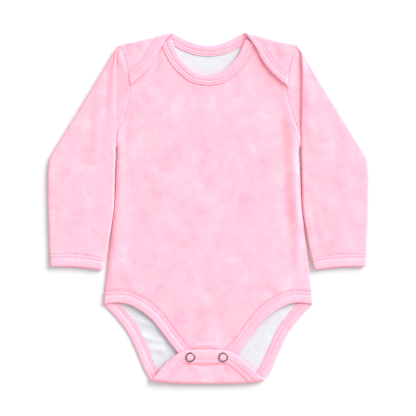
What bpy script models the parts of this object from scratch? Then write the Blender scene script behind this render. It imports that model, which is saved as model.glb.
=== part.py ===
"""Baby's long-sleeved bodysuit with envelope shoulders, laid flat on its back with the front up.

Every piece of cloth is worked out on its flat pattern and then laid: the back panel rolls over at each
shoulder into a flap, and at the crotch into a tab. Sizes are in millimetres until a mesh is made.
+Y runs to the neck and +Z up from the table, with the origin under the middle of the garment. Left and right
in names are as seen from above with the neck at the top, so left is -X.
"""

import math

import bpy
from mathutils import Vector
from mathutils.geometry import delaunay_2d_cdt
from mathutils.geometry import intersect_point_line

MM = 0.001

# Cloth
PANEL = 1.2          # one layer of jersey, with the loft it has when laid
BINDING = 1.8        # folded strip along an edge
GAP = 0.3            # between two pieces that are sewn together
SOFT_EDGE = 0.35     # how far the faces stop short of a rounded rim
CUFF_CLOTH = 1.5     # folded strip of a cuff, drawn tighter than the other bindings

# Levels: middle height of each layer as laid
BACK_LEVEL = PANEL / 2
BACK_BINDING_LEVEL = BINDING / 2
FRONT_UNDERSIDE = BINDING + GAP
FRONT_LEVEL = FRONT_UNDERSIDE + PANEL / 2
FRONT_BINDING_LEVEL = FRONT_UNDERSIDE + BINDING / 2
FLAP_RISE = 4.2      # from the back layer up to the flap that lies on the front
TAB_RISE = 5.7       # from the back layer up to the tab, with the snaps between
LOFT = 2.2           # how far the front stands off the back in the middle
LOFT_IN = 34.0       # the front reaches that height this far in from its sides,
LOFT_TOP = 126.0     # between this level under the neck
LOFT_LOW = -158.0    # and this one over the tab
LOWEST = -0.5        # a trough of the front stops on the back's bindings
ROLL_IN = 9.0        # width of the front's turn down to the back at a side seam

# Snaps
RING_OUTER = 5.4
RING_INNER = 3.75
RING_HEIGHT = 1.0
STUD_RADIUS = 4.6
STUD_HEIGHT = 1.2
STUD_HOLE = 0.6
SNAP_PITCH = 36.0
SNAP_MIDDLE = -1.6
SNAP_Y = -163.0
TAB_SWING = -2.4     # the tab lies a little to one side,
TAB_SWING_RUN = 30.0  # which starts over this run past its fold

# Mesh
STEP = 7.0           # along an outline
GRID = 17.0          # inside a panel
ROLL_STEPS = 5       # facets round a fold
STRIP_GRID = 11.0
SLEEVE_STEP = 13.0   # along a sleeve
NEAREST = 0.3        # points of an outline closer than this are one

# Pattern tables, one half, mirrored for the other. Bindings: finished edge, then the seam it is sewn along.
# columns: edge x, edge y, seam x, seam y
FRONT_NECK = (
    (0.0, 147.0, 0.0, 135.0),
    (12.4, 149.2, 16.9, 138.1),
    (22.0, 155.8, 30.0, 146.8),
    (31.5, 166.2, 41.3, 159.3),
    (37.3, 177.6, 48.1, 172.3),
    (41.0, 186.0, 52.0, 181.0),
)
BACK_NECK = (
    (0.0, 179.0, 0.0, 167.2),
    (9.0, 179.8, 10.9, 168.1),
    (19.0, 182.9, 23.4, 171.8),
    (29.2, 187.8, 34.4, 177.0),
)
FLAP = (
    (51.4, 177.3, 61.6, 180.6),
    (57.8, 164.8, 68.2, 170.2),
    (66.2, 152.8, 75.4, 160.2),
    (76.2, 142.8, 83.6, 152.2),
    (86.6, 134.4, 88.2, 148.2),
)
FRONT_LEG = (
    (114.5, -105.3, 113.6, -91.0),
    (103.0, -103.6, 101.6, -89.8),
    (92.0, -104.3, 89.1, -90.6),
    (82.0, -108.0, 75.8, -95.4),
    (71.5, -114.3, 63.3, -103.0),
    (61.3, -123.0, 51.5, -113.5),
    (51.5, -135.0, 41.2, -127.1),
    (42.0, -148.0, 31.7, -140.0),
    (32.5, -159.8, 22.8, -151.0),
    (25.0, -167.8, 17.6, -155.2),
    (15.0, -170.8, 10.5, -156.5),
    (0.0, -171.0, 0.0, -156.6),
)
BACK_LEG = (
    (114.5, -105.8, 113.6, -91.0),
    (107.3, -113.2, 98.3, -104.7),
    (99.7, -121.5, 89.6, -114.2),
    (88.0, -137.2, 77.2, -131.0),
    (80.0, -153.8, 68.4, -149.0),
    (73.4, -169.5, 61.5, -164.8),
    (68.2, -180.8, 56.0, -175.8),
)
TAB = (
    (54.0, -180.0, 43.4, -189.0),
    (43.3, -169.2, 32.9, -177.8),
    (32.0, -159.9, 23.4, -170.4),
    (20.0, -155.6, 14.0, -170.0),
    (0.0, -154.9, 0.0, -170.1),
)
# columns: x, y, from the shoulder down
ARMHOLE = (
    (96.6, 178.0),
    (93.4, 167.5),
    (90.5, 157.0),
    (88.3, 146.0),
    (86.7, 134.2),
    (87.8, 119.0),
    (93.7, 99.0),
    (100.4, 82.3),
    (101.2, 70.0),
)
SIDE = (
    (101.2, 70.0),
    (99.8, 61.0),
    (101.0, 42.0),
    (102.6, 8.5),
    (106.0, -25.0),
    (109.5, -55.0),
    (113.6, -91.0),
)
# columns: y, armhole x, pleat edge x, outer x, pleat depth, pleat share, front edge height
SLEEVE = (
    (175.4, 95.8, 98.0, 101.2, 0.0, 0.0, 4.7),
    (170.0, 94.2, 100.4, 104.6, 0.0, 0.0, 4.8),
    (160.0, 91.3, 102.2, 110.2, 3.0, 1.0, 4.8),
    (150.0, 89.1, 102.4, 116.3, 5.5, 1.0, 4.8),
    (134.0, 86.7, 102.4, 126.1, 7.0, 1.0, 4.6),
    (119.0, 87.8, 102.4, 135.4, 7.5, 1.0, 3.2),
    (106.0, 91.5, 102.2, 143.3, 7.0, 1.0, 2.8),
    (94.0, 95.7, 101.9, 150.7, 5.0, 1.0, 2.7),
    (82.3, 100.4, 101.8, 157.9, 2.4, 0.5, 2.7),
    (72.0, 101.2, 101.9, 164.2, 0.0, 0.0, 2.8),
    (62.0, 102.6, 102.0, 170.2, 0.0, 0.0, 2.8),
    (54.5, 102.7, 102.1, 174.2, 0.0, 0.0, 2.8),
    (42.0, 103.0, 102.4, 176.1, 0.0, 0.0, 2.8),
    (22.0, 103.4, 102.8, 176.3, 0.0, 0.0, 2.8),
    (0.0, 104.2, 103.6, 176.0, 0.0, 0.0, 2.8),
    (-25.0, 108.0, 107.4, 175.2, 0.0, 0.0, 2.8),
    (-51.3, 113.1, 112.5, 174.3, 0.0, 0.0, 2.8),
)
CUFF_RUN = 15.0      # finished width of the cuff binding
CUFF_SLANT = 4.4     # the outer end of a cuff sits this much higher than the inner
CUFF_SPREAD = 4.0    # the inner edge moves out this much along the cuff
CUFF_NARROWS = 0.8   # and the outer edge moves in this much
CUFF_BACK_SHOWS = 1.2
SLEEVE_TOP = 4.4     # middle height of the sleeve's upper layer
PLEAT_TOP = 6.2      # the same where it lies on the pleat
LAYER_STEP = 1.8     # from one layer of a pleat to the next
UNDERARM = 66.0      # the sleeve is sewn to the armhole above this level, and loose below it
# Soft folds of the front: columns x0, y0, x1, y1, half width, height
FRONT_FOLDS = (
    (90.0, 118.0, 92.5, -52.0, 9.0, -1.0),
    (-89.0, 112.0, -93.0, 60.0, 8.0, -0.6),
    (70.0, -96.0, 96.0, -60.0, 12.0, 0.8),
)

JERSEY = {"name": "pink_jersey", "colour": (0.960, 0.560, 0.690, 1.0), "roughness": 0.9, "metallic": 0.0}
BOUND = {"name": "pink_binding", "colour": (0.940, 0.500, 0.640, 1.0), "roughness": 0.9, "metallic": 0.0}
NICKEL = {"name": "grey_nickel", "colour": (0.180, 0.190, 0.185, 1.0), "roughness": 0.35, "metallic": 1.0}


# ---- curves --------------------------------------------------------------------------------------

def through(before, start, end, after, share):
    """Catmull-Rom value between start and end."""
    a = 2 * start
    b = end - before
    c = 2 * before - 5 * start + 4 * end - after
    d = 3 * start - before - 3 * end + after
    return (a + b * share + c * share ** 2 + d * share ** 3) / 2


def smooth_rows(rows, step):
    """Rows on a smooth curve through the given ones, about step apart by the first two columns."""
    found = []
    for index in range(len(rows) - 1):
        before = rows[max(index - 1, 0)]
        start = rows[index]
        end = rows[index + 1]
        after = rows[min(index + 2, len(rows) - 1)]
        count = max(1, round(math.dist(start[:2], end[:2]) / step))
        for n in range(count):
            share = n / count
            found.append(tuple(through(*four, share) for four in zip(before, start, end, after)))
    return found + [tuple(rows[-1])]


def mirrored(rows):
    """The rows with every x turned to the other side."""
    return [tuple(-v if n % 2 == 0 else v for n, v in enumerate(row)) for row in rows]


def value_at(rows, y):
    """x at a height y on rows of (x, y)."""
    ordered = sorted(rows, key=lambda row: row[1])
    if y <= ordered[0][1]:
        return ordered[0][0]
    for low, high in zip(ordered, ordered[1:]):
        if y <= high[1]:
            share = (y - low[1]) / max(high[1] - low[1], 1e-6)
            return low[0] + (high[0] - low[0]) * share
    return ordered[-1][0]


def ease(share):
    share = min(1.0, max(0.0, share))
    return share * share * (3 - 2 * share)


# ---- folds ---------------------------------------------------------------------------------------

def shoulder_fold(side):
    """The roll at one shoulder: from the neck point to the tip of the shoulder, side is 1 or -1."""
    neck = Vector((40.0, 192.9))
    tip = Vector((96.6, 179.8))
    along = (tip - neck).normalized()
    out = Vector((-along.y, along.x))
    radius = FLAP_RISE / 2
    on_line = neck - out * (radius + PANEL / 2 + 0.2)
    return {"x": side * on_line.x, "y": on_line.y, "nx": side * out.x, "ny": out.y, "radius": radius, "bow": 0.0}


def crotch_fold():
    radius = TAB_RISE / 2
    line = -192.9 + radius + PANEL / 2 + 0.05
    return {"x": 0.0, "y": line, "nx": 0.0, "ny": -1.0, "radius": radius, "bow": 4.5}


FOLDS = {"left": shoulder_fold(-1), "right": shoulder_fold(1), "crotch": crotch_fold()}
BOW_HALF_WIDTH = 62.0
BOW_MOST = 8.0


def past(fold, x, y):
    """How far a point of the pattern lies past a fold line."""
    bow = fold["bow"] * (x / BOW_HALF_WIDTH) ** 4
    return (x - fold["x"]) * fold["nx"] + (y - fold["y"]) * fold["ny"] + min(bow, BOW_MOST)


def fold_near(x, y):
    if y < 0:
        return FOLDS["crotch"]
    return FOLDS["right"] if x > 0 else FOLDS["left"]


def unfolded(x, y):
    """Where a point of a flap or tab, as laid, is on the flat pattern."""
    fold = fold_near(x, y)
    out = math.pi * fold["radius"] - 2 * past(fold, x, y)
    return (x + fold["nx"] * out, y + fold["ny"] * out)


def laid(x, y, height, level):
    """Where a point of the pattern is once it is folded: height is measured up from the layer's middle."""
    fold = fold_near(x, y)
    radius = fold["radius"]
    s = past(fold, x, y)
    if s <= 0:
        return Vector((x, y, level + height))
    foot = Vector((x - fold["nx"] * s, y - fold["ny"] * s))
    angle = min(s / radius, math.pi)
    out = (radius - height) * math.sin(angle) - max(0.0, s - math.pi * radius)
    z = level + radius - (radius - height) * math.cos(angle)
    swing = TAB_SWING * ease(s / TAB_SWING_RUN) if y < 0 else 0.0
    return Vector((foot.x + fold["nx"] * out + swing, foot.y + fold["ny"] * out, z))


# ---- how the front lies --------------------------------------------------------------------------

def half_width(y):
    return value_at(ARMHOLE + SIDE, y)


def front_rise(x, y):
    """How far the front stands above its lowest level."""
    inward = half_width(y) - abs(x)
    rise = LOFT * ease(inward / LOFT_IN) * ease((LOFT_TOP - y) / 40.0) * ease((y - LOFT_LOW) / 45.0)
    for x0, y0, x1, y1, half, height in FRONT_FOLDS:
        near, share = intersect_point_line(Vector((x, y)), Vector((x0, y0)), Vector((x1, y1)))
        away = math.dist((x, y), near) / half
        if away < 1:
            ends = ease(share * 5) * ease((1 - share) * 5)
            rise += height * (1 - away * away) ** 2 * ends
    return max(rise, LOWEST)


def panel_rise(x, y):
    """The same for the front panel, which turns down to the back along the side seams."""
    dip = 0.0
    if -88.0 < y < 130.0:
        dip = (BINDING - PANEL) * ease(1 - (half_width(y) - abs(x)) / ROLL_IN)
    return max(front_rise(x, y) - dip, PANEL - BINDING)


# ---- meshes --------------------------------------------------------------------------------------

def material(look):
    found = bpy.data.materials.get(look["name"])
    if found:
        return found
    made = bpy.data.materials.new(look["name"])
    made.use_nodes = True
    shader = made.node_tree.nodes["Principled BSDF"]
    shader.inputs["Base Color"].default_value = look["colour"]
    shader.inputs["Roughness"].default_value = look["roughness"]
    shader.inputs["Metallic"].default_value = look["metallic"]
    made.diffuse_color = look["colour"]
    return made


def add_object(name, points, faces, look):
    mesh = bpy.data.meshes.new(name)
    mesh.from_pydata([Vector(p) * MM for p in points], [], faces)
    mesh.validate()
    mesh.shade_smooth()
    mesh.materials.append(material(look))
    made = bpy.data.objects.new(name, mesh)
    bpy.context.scene.collection.objects.link(made)
    return made


def cleaned(loop):
    """The loop without points that lie on the one before."""
    found = []
    for point in loop:
        if not found or math.dist(point, found[-1]) > NEAREST:
            found.append(point)
    if math.dist(found[0], found[-1]) < NEAREST:
        found.pop()
    return found


def with_roll_points(loop):
    """The loop with a point wherever it crosses a facet line of a fold."""
    found = []
    for a, b in zip(loop, loop[1:] + loop[:1]):
        found.append(a)
        fold = fold_near((a[0] + b[0]) / 2, (a[1] + b[1]) / 2)
        start = past(fold, *a)
        end = past(fold, *b)
        shares = []
        for k in range(ROLL_STEPS + 1):
            line = math.pi * fold["radius"] * k / ROLL_STEPS
            if (start - line) * (end - line) < 0:
                shares.append((line - start) / (end - start))
        found += [(a[0] + (b[0] - a[0]) * s, a[1] + (b[1] - a[1]) * s) for s in sorted(shares)]
    return cleaned(found)


def inside(loop, x, y):
    hit = False
    for a, b in zip(loop, loop[1:] + loop[:1]):
        if (a[1] > y) != (b[1] > y) and x < a[0] + (b[0] - a[0]) * (y - a[1]) / (b[1] - a[1]):
            hit = not hit
    return hit


def clear_of(loop, x, y, room):
    for a, b in zip(loop, loop[1:] + loop[:1]):
        near, share = intersect_point_line(Vector((x, y)), Vector(a), Vector(b))
        share = min(1.0, max(0.0, share))
        if math.dist((x, y), (a[0] + (b[0] - a[0]) * share, a[1] + (b[1] - a[1]) * share)) < room:
            return False
    return True


def inner_points(loop, grid):
    """A staggered grid inside the loop, with closer rows round each roll and along each soft fold."""
    low = [min(p[n] for p in loop) for n in (0, 1)]
    high = [max(p[n] for p in loop) for n in (0, 1)]
    found = []
    for fold in FOLDS.values():
        for k in range(ROLL_STEPS + 1):
            out = math.pi * fold["radius"] * k / ROLL_STEPS
            for n in range(-12, 13):
                along = n * 12.0
                x = fold["x"] - fold["ny"] * along + fold["nx"] * out
                y = fold["y"] + fold["nx"] * along + fold["ny"] * out
                if fold["bow"]:
                    y += fold["bow"] * (x / BOW_HALF_WIDTH) ** 4
                if fold_near(x, y) is fold and inside(loop, x, y) and clear_of(loop, x, y, 1.0):
                    found.append((x, y))
    rows = int((high[1] - low[1]) / grid) + 2
    columns = int((high[0] - low[0]) / grid) + 2
    for row in range(-1, rows):
        for column in range(-columns // 2, columns // 2 + 1):
            x = (column + 0.5 * (row % 2)) * grid
            y = low[1] + (row + 0.5) * grid
            s = past(fold_near(x, y), x, y)
            on_roll = -2.0 < s < math.pi * fold_near(x, y)["radius"] + 2.0
            if not on_roll and inside(loop, x, y) and clear_of(loop, x, y, 0.45 * grid):
                found.append((x, y))
    return found


def cloth(name, loop, thickness, level, grid, look, rise=None):
    """A layer of cloth from its flat outline: two faces from one triangulation, and a rounded rim between them."""
    rise = rise or (lambda x, y: 0.0)
    loop = with_roll_points(cleaned(loop))
    inner = inner_points(loop, grid)
    flat = [Vector(p) for p in loop + inner]
    count = len(loop)
    edges = [(n, (n + 1) % count) for n in range(count)]
    points, _, faces, origin, _, _ = delaunay_2d_cdt(flat, edges, [], 1, 1e-5)
    back = {}
    for new, sources in enumerate(origin):
        for source in sources:
            back[source] = new
    rim = [back[n] for n in range(count)]
    # the side of the loop the cloth is on, to pull the faces in from the rim
    turn = sum(a[0] * b[1] - b[0] * a[1] for a, b in zip(loop, loop[1:] + loop[:1]))
    sign = 1 if turn > 0 else -1
    pulled = {}
    for n in range(count):
        before = Vector(loop[n - 1])
        after = Vector(loop[(n + 1) % count])
        along = (after - before).normalized()
        pulled[rim[n]] = Vector(loop[n]) + Vector((-along.y, along.x)) * sign * SOFT_EDGE
    half = thickness / 2
    top = []
    bottom = []
    for n, point in enumerate(points):
        x, y = pulled.get(n, point)
        lift = rise(x, y)
        top.append(laid(x, y, half, level + lift))
        bottom.append(laid(x, y, -half, level + lift))
    middle = [laid(x, y, 0.0, level + rise(x, y)) for x, y in loop]
    total = len(points)
    made = []
    for face in faces:
        a, b, c = face
        flat_turn = (points[b] - points[a]).cross(points[c] - points[a])
        up = (a, b, c) if flat_turn > 0 else (a, c, b)
        made.append(up)
        made.append(tuple(total + v for v in reversed(up)))
    for n in range(count):
        m = (n + 1) % count
        a, b = rim[n], rim[m]
        ma, mb = 2 * total + n, 2 * total + m
        upper = (a, ma, mb, b)
        lower = (ma, total + a, total + b, mb)
        if sign < 0:
            upper = tuple(reversed(upper))
            lower = tuple(reversed(lower))
        made += [upper, lower]
    return add_object(name, top + bottom + middle, made, look)


def strip_loop(rows):
    """Outline of a binding from its rows of edge and seam."""
    edge = [row[:2] for row in rows]
    seam = [row[2:] for row in rows]
    return edge + seam[::-1]


def seam_line(rows, gap=GAP):
    """Where a panel stops short of a binding's seam."""
    found = []
    for ex, ey, sx, sy in rows:
        away = math.dist((ex, ey), (sx, sy))
        found.append((sx + (sx - ex) / away * gap, sy + (sy - ey) / away * gap))
    return found


# ---- pieces --------------------------------------------------------------------------------------

def both_sides(half):
    """Rows from one side's end to the other's, given a half that ends on the middle line."""
    return mirrored(half) + half[::-1][1:]


def unfolded_rows(rows):
    return [(*unfolded(*row[:2]), *unfolded(*row[2:])) for row in rows]


def neck_back_half():
    """Back neck and flap on the flat pattern, from the flap's end to the middle."""
    return smooth_rows(unfolded_rows(FLAP)[::-1] + list(BACK_NECK)[::-1], STEP)


def neck_front_half():
    return smooth_rows(FRONT_NECK[::-1], STEP)


def leg_front_half():
    return smooth_rows(FRONT_LEG, STEP)


def leg_back_half():
    return smooth_rows(list(BACK_LEG) + unfolded_rows(TAB), STEP)


def armhole_and_side():
    """From the shoulder down to the leg binding."""
    return smooth_rows(ARMHOLE, STEP)[:-1] + smooth_rows(SIDE, 2 * STEP)


def flap_armhole():
    """The flap's armhole edge on the flat pattern, from its end back to the shoulder."""
    on_flap = [row for row in smooth_rows(ARMHOLE[:5], STEP) if past(FOLDS["right"], *row) < -0.5]
    return [unfolded(*row) for row in on_flap][::-1]


def build_back():
    neck = seam_line(neck_back_half())
    right = neck[::-1][1:]
    right = [p for p in right if p[1] < flap_armhole()[2][1] - 1.0]
    right += flap_armhole()[2:]
    right += armhole_and_side()[:-1]
    right.append((SIDE[-1][0], SIDE[-1][1] + GAP))
    leg = seam_line(leg_back_half())
    right += leg[1:]
    loop = [neck[-1]] + right + [(-x, y) for x, y in right[::-1] if x > 0.01]
    cloth("back_panel", loop, PANEL, BACK_LEVEL, GRID + 4, JERSEY)


def build_front():
    right = seam_line(neck_front_half())[::-1]
    right += [(62.0, 180.3), (76.0, 177.2), (88.0, 174.6)]
    right += [p for p in armhole_and_side()[:-1] if p[1] < 173.5]
    right.append((SIDE[-1][0], SIDE[-1][1] + GAP))
    right += seam_line(leg_front_half())[1:]
    loop = right + [(-x, y) for x, y in right[::-1] if x > 0.01]
    cloth("front_panel", loop, PANEL, FRONT_LEVEL, GRID, JERSEY, panel_rise)


def build_bindings():
    parts = (
        ("neck_binding_back", neck_back_half(), BACK_BINDING_LEVEL, None),
        ("neck_binding_front", neck_front_half(), FRONT_BINDING_LEVEL, front_rise),
        ("leg_binding_front", leg_front_half(), FRONT_BINDING_LEVEL, front_rise),
        ("leg_binding_back", leg_back_half(), BACK_BINDING_LEVEL, None),
    )
    for name, half, level, rise in parts:
        cloth(name, strip_loop(both_sides(half)), BINDING, level, STRIP_GRID, BOUND, rise)


def sleeve_path(row):
    """Middle line of the sleeve's cloth across one section, from its front edge round to its back edge: (x, z)."""
    y, seam, pleat, outer, depth, share, edge_z = row
    start = seam + GAP
    span = outer - pleat
    turn = min(1.9, 0.5 * (outer - start))
    middle = (SLEEVE_TOP + BACK_LEVEL) / 2
    top = SLEEVE_TOP + (PLEAT_TOP - SLEEVE_TOP) * share
    under = top - 2 * LAYER_STEP
    tucked = [
        (start + 0.35 * (pleat - start), edge_z + 0.3 * (under - edge_z)),
        (start + 0.8 * (pleat - start), under + 0.1),
        (pleat + depth - 1.0, under),
        (pleat + depth, under + 0.5 * LAYER_STEP),
        (pleat + depth - 1.0, under + LAYER_STEP),
        (pleat + 1.0, under + LAYER_STEP),
        (pleat, under + 1.5 * LAYER_STEP),
        (pleat + 1.0, top),
    ]
    loose_start = (start, edge_z) if y > UNDERARM else (pleat + 0.6, middle + GAP / 2)
    reach = (min(pleat + 2.2, start + 0.6 * (outer - turn - start)), top)
    if share == 1.0:
        hidden = tucked
    else:
        plain = []
        for n in range(len(tucked)):
            s = (n + 1) / (len(tucked) + 1)
            if y > UNDERARM:
                plain.append((loose_start[0] + (reach[0] - loose_start[0]) * s,
                              loose_start[1] + (reach[1] - loose_start[1]) * ease(s)))
            else:
                angle = math.pi / 2 * s
                plain.append((pleat + 0.6 + (1 - math.cos(angle)) * 2.0,
                              loose_start[1] + (top - loose_start[1]) * math.sin(angle)))
        hidden = [(p[0] + (t[0] - p[0]) * share, p[1] + (t[1] - p[1]) * share) for p, t in zip(plain, tucked)]
    first = hidden[-1][0]
    last = outer - turn
    upper = []
    for s in (0.12, 0.3, 0.5, 0.7, 0.88):
        sink = (top - SLEEVE_TOP) * ease(s * 1.4)
        crown = min(0.5, 0.02 * span) * math.sin(math.pi * s)
        upper.append((first + (last - first) * s, top - sink + crown))
    edge = []
    for angle in (90, 50, 0, -50, -90):
        a = math.radians(angle)
        edge.append((last + (turn - PANEL / 2) * math.cos(a), middle + (SLEEVE_TOP - middle) * math.sin(a)))
    if y > UNDERARM:
        lower = [(last + (start - last) * s, BACK_LEVEL) for s in (0.2, 0.4, 0.6, 0.75, 0.85, 0.93, 1.0)]
    else:
        near = pleat + 0.6
        lower = [(last + (near + 3.0 - last) * s, BACK_LEVEL) for s in (0.25, 0.6, 1.0)]
        lower += [(near + 1.3, BACK_LEVEL + 0.15), (near + 0.4, BACK_LEVEL + 0.6)]
        lower += [(near + 0.03, middle - 0.75), (near, middle - GAP / 2)]
    return [loose_start] + hidden + upper + edge + lower


def slant(row, x):
    """The lower end of a sleeve is a little higher on its outer side."""
    y, _, pleat, outer = row[:4]
    return CUFF_SLANT * ease((10.0 - y) / 60.0) * ((x - pleat) / (outer - pleat) - 0.5)


def sleeve_rows():
    """Rows of the sleeve table, with more between them where they are far apart."""
    found = []
    for row, after in zip(SLEEVE, SLEEVE[1:]):
        count = max(1, round((row[0] - after[0]) / SLEEVE_STEP))
        for n in range(count):
            share = n / count
            found.append(tuple(a + (b - a) * share for a, b in zip(row, after)))
    return found + [SLEEVE[-1]]


def build_sleeve(side):
    rows = sleeve_rows()
    outside = []
    lining = []
    for row in rows:
        path = sleeve_path(row)
        for n, (x, z) in enumerate(path):
            before = path[max(n - 1, 0)]
            after = path[min(n + 1, len(path) - 1)]
            along = Vector((after[0] - before[0], after[1] - before[1])).normalized()
            across = Vector((-along.y, along.x)) * PANEL / 2
            y = row[0] + slant(row, x)
            outside.append(Vector((side * (x + across.x), y, z + across.y)))
            lining.append(Vector((side * (x - across.x), y, z - across.y)))
    length = len(sleeve_path(rows[0]))
    total = len(outside)
    faces = []
    for r in range(len(rows) - 1):
        for n in range(length - 1):
            a = r * length + n
            b = a + 1
            c = b + length
            d = a + length
            faces.append((a, d, c, b))
            faces.append((total + a, total + b, total + c, total + d))
    for r in range(len(rows) - 1):
        a = r * length
        d = a + length
        faces.append((a, total + a, total + d, d))
        b = a + length - 1
        c = b + length
        faces.append((b, c, total + c, total + b))
    last = (len(rows) - 1) * length
    for n in range(length - 1):
        faces.append((n, n + 1, total + n + 1, total + n))
        faces.append((last + n, total + last + n, total + last + n + 1, last + n + 1))
    if side < 0:
        faces = [tuple(reversed(face)) for face in faces]
    name = "sleeve_right" if side > 0 else "sleeve_left"
    add_object(name, outside + lining, faces, JERSEY)


def cuff_loop(low, high, thickness):
    """A flattened ring of cloth between two x values: outer and inner (x, z) loops."""
    loops = []
    top = SLEEVE_TOP + PANEL / 2 + 0.1
    for inset in (0.0, thickness):
        left = low + inset
        right = high - inset
        turn = (top - 2 * inset) / 2
        loop = []
        for angle in (-90, -45, 0, 45, 90):
            a = math.radians(angle)
            loop.append((right - turn + turn * math.cos(a), top / 2 + turn * math.sin(a)))
        for share in (0.25, 0.5, 0.75):
            loop.append((right - turn + (left - right + 2 * turn) * share, top / 2 + turn))
        for angle in (90, 135, 180, 225, 270):
            a = math.radians(angle)
            loop.append((left + turn + turn * math.cos(a), top / 2 + turn * math.sin(a)))
        for share in (0.25, 0.5, 0.75):
            loop.append((left + turn + (right - left - 2 * turn) * share, top / 2 - turn))
        loops.append(loop)
    return loops


def build_cuff(side):
    """Ring of folded strip round the end of a sleeve."""
    row = SLEEVE[-1]
    top_y, _, inner, outer = row[:4]
    points = []
    rings = (GAP, CUFF_RUN / 2, CUFF_RUN)
    for down in rings:
        share = down / CUFF_RUN
        loops = cuff_loop(inner + CUFF_SPREAD * share, outer - CUFF_NARROWS * share, CUFF_CLOTH)
        for loop in loops:
            for x, z in loop:
                lift = CUFF_SLANT * ((x - inner) / (outer - inner) - 0.5)
                behind = CUFF_BACK_SHOWS * share if z < SLEEVE_TOP / 2 else 0.0
                points.append(Vector((side * x, top_y - down + lift - behind, z)))
    length = len(loops[0])
    ring = 2 * length
    faces = []
    for r in range(len(rings) - 1):
        for n in range(length):
            m = (n + 1) % length
            a, b = r * ring + n, r * ring + m
            faces.append((a, a + ring, b + ring, b))
            a, b = a + length, b + length
            faces.append((a, b, b + ring, a + ring))
    end = (len(rings) - 1) * ring
    for n in range(length):
        m = (n + 1) % length
        faces.append((n, m, length + m, length + n))
        faces.append((end + n, end + length + n, end + length + m, end + m))
    if side > 0:
        faces = [tuple(reversed(face)) for face in faces]
    add_object("cuff_right" if side > 0 else "cuff_left", points, faces, BOUND)


def lathe(name, centre, profile, look, steps=28):
    """A closed profile of (radius, height) turned about an upright axis."""
    points = []
    for n in range(steps):
        a = 2 * math.pi * n / steps
        for radius, z in profile:
            out = Vector((radius * math.cos(a), radius * math.sin(a), z))
            points.append(Vector(centre) + out)
    size = len(profile)
    faces = []
    for n in range(steps):
        m = (n + 1) % steps
        for k in range(size):
            j = (k + 1) % size
            faces.append((n * size + k, m * size + k, m * size + j, n * size + j))
    return add_object(name, points, faces, look)


def build_snaps():
    tab_top = BACK_BINDING_LEVEL + TAB_RISE + BINDING / 2
    front_top = FRONT_UNDERSIDE + BINDING
    middle = (RING_OUTER + RING_INNER) / 2
    half = (RING_OUTER - RING_INNER) / 2
    ring = []
    for n in range(8):
        a = 2 * math.pi * (n + 0.5) / 8
        ring.append((middle + half * math.cos(a) * 1.08, RING_HEIGHT / 2 * (1 + math.sin(a) * 1.08)))
    stud = ((STUD_HOLE, 0.0), (STUD_RADIUS, 0.0), (STUD_RADIUS, STUD_HEIGHT), (STUD_HOLE, STUD_HEIGHT))
    for name, side in (("left", -1), ("right", 1)):
        x = side * SNAP_PITCH / 2 + SNAP_MIDDLE
        lathe("snap_ring_" + name, (x, SNAP_Y, tab_top + GAP), ring, NICKEL)
        lathe("snap_stud_" + name, (x, SNAP_Y, front_top + GAP), stud, NICKEL, 20)


def main():
    for old in list(bpy.data.objects):
        bpy.data.objects.remove(old, do_unlink=True)
    build_back()
    build_front()
    build_bindings()
    for side in (-1, 1):
        build_sleeve(side)
        build_cuff(side)
    build_snaps()


main()
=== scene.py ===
# %% [markdown]
# # A baby's bodysuit, laid out flat
# The garment is a long-sleeved cotton bodysuit with envelope shoulders. It is laid on its back, front up,
# and seen from straight above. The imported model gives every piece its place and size, and this script gives
# each one its cloth: thin shells with soft folds, plump bindings, two rows of stitches, and two open-ring
# snaps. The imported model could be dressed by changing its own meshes, but its facets are too coarse for
# soft folds, so each piece is made again here on the same pattern, far finer, and stands in for the plain
# one.

# %% The frame
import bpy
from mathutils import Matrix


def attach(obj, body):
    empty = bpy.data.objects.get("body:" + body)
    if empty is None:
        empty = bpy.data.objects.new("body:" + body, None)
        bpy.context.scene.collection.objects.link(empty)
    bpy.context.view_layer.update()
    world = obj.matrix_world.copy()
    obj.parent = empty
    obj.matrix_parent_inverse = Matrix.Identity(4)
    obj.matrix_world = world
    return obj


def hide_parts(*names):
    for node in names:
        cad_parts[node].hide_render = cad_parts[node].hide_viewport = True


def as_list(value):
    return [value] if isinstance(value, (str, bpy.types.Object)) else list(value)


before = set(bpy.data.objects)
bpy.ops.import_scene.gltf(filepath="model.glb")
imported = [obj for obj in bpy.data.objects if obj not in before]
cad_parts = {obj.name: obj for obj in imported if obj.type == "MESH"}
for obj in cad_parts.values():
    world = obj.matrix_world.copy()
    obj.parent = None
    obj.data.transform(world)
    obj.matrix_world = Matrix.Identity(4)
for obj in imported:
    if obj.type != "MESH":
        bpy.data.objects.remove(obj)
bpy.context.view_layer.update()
print("packed pieces:", len(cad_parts))

# %% [markdown]
# ## Tools
# Numpy does the shaping and Blender's own triangulation fills the panels. Every measure stays in
# millimetres until a mesh is made, because that is how a maker measures cloth.

# %% Tools
import math
import bpy
import numpy as np
from mathutils import Vector
from mathutils.geometry import delaunay_2d_cdt

MM = 0.001

# %% [markdown]
# ## The camera
# The garment is looked at from straight above with a long lens, so that no side of it leans outward. An
# orthographic camera would do the same, but a long lens keeps the slight closeness of a real one. The frame
# is 458 mm wide where the cloth lies.

# %% Camera
FRAME_WIDTH = 457.6
LENS = 135.0
SENSOR = 36.0
camera_data = bpy.data.cameras.new("overhead_camera")
camera_data.lens = LENS
camera_data.sensor_width = SENSOR
camera = bpy.data.objects.new("overhead_camera", camera_data)
camera_height = FRAME_WIDTH * LENS / SENSOR
camera.location = (-0.3 * MM, 0.4 * MM, camera_height * MM)
bpy.context.scene.collection.objects.link(camera)
bpy.context.scene.camera = camera
print("camera height, mm:", round(camera_height))

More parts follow.
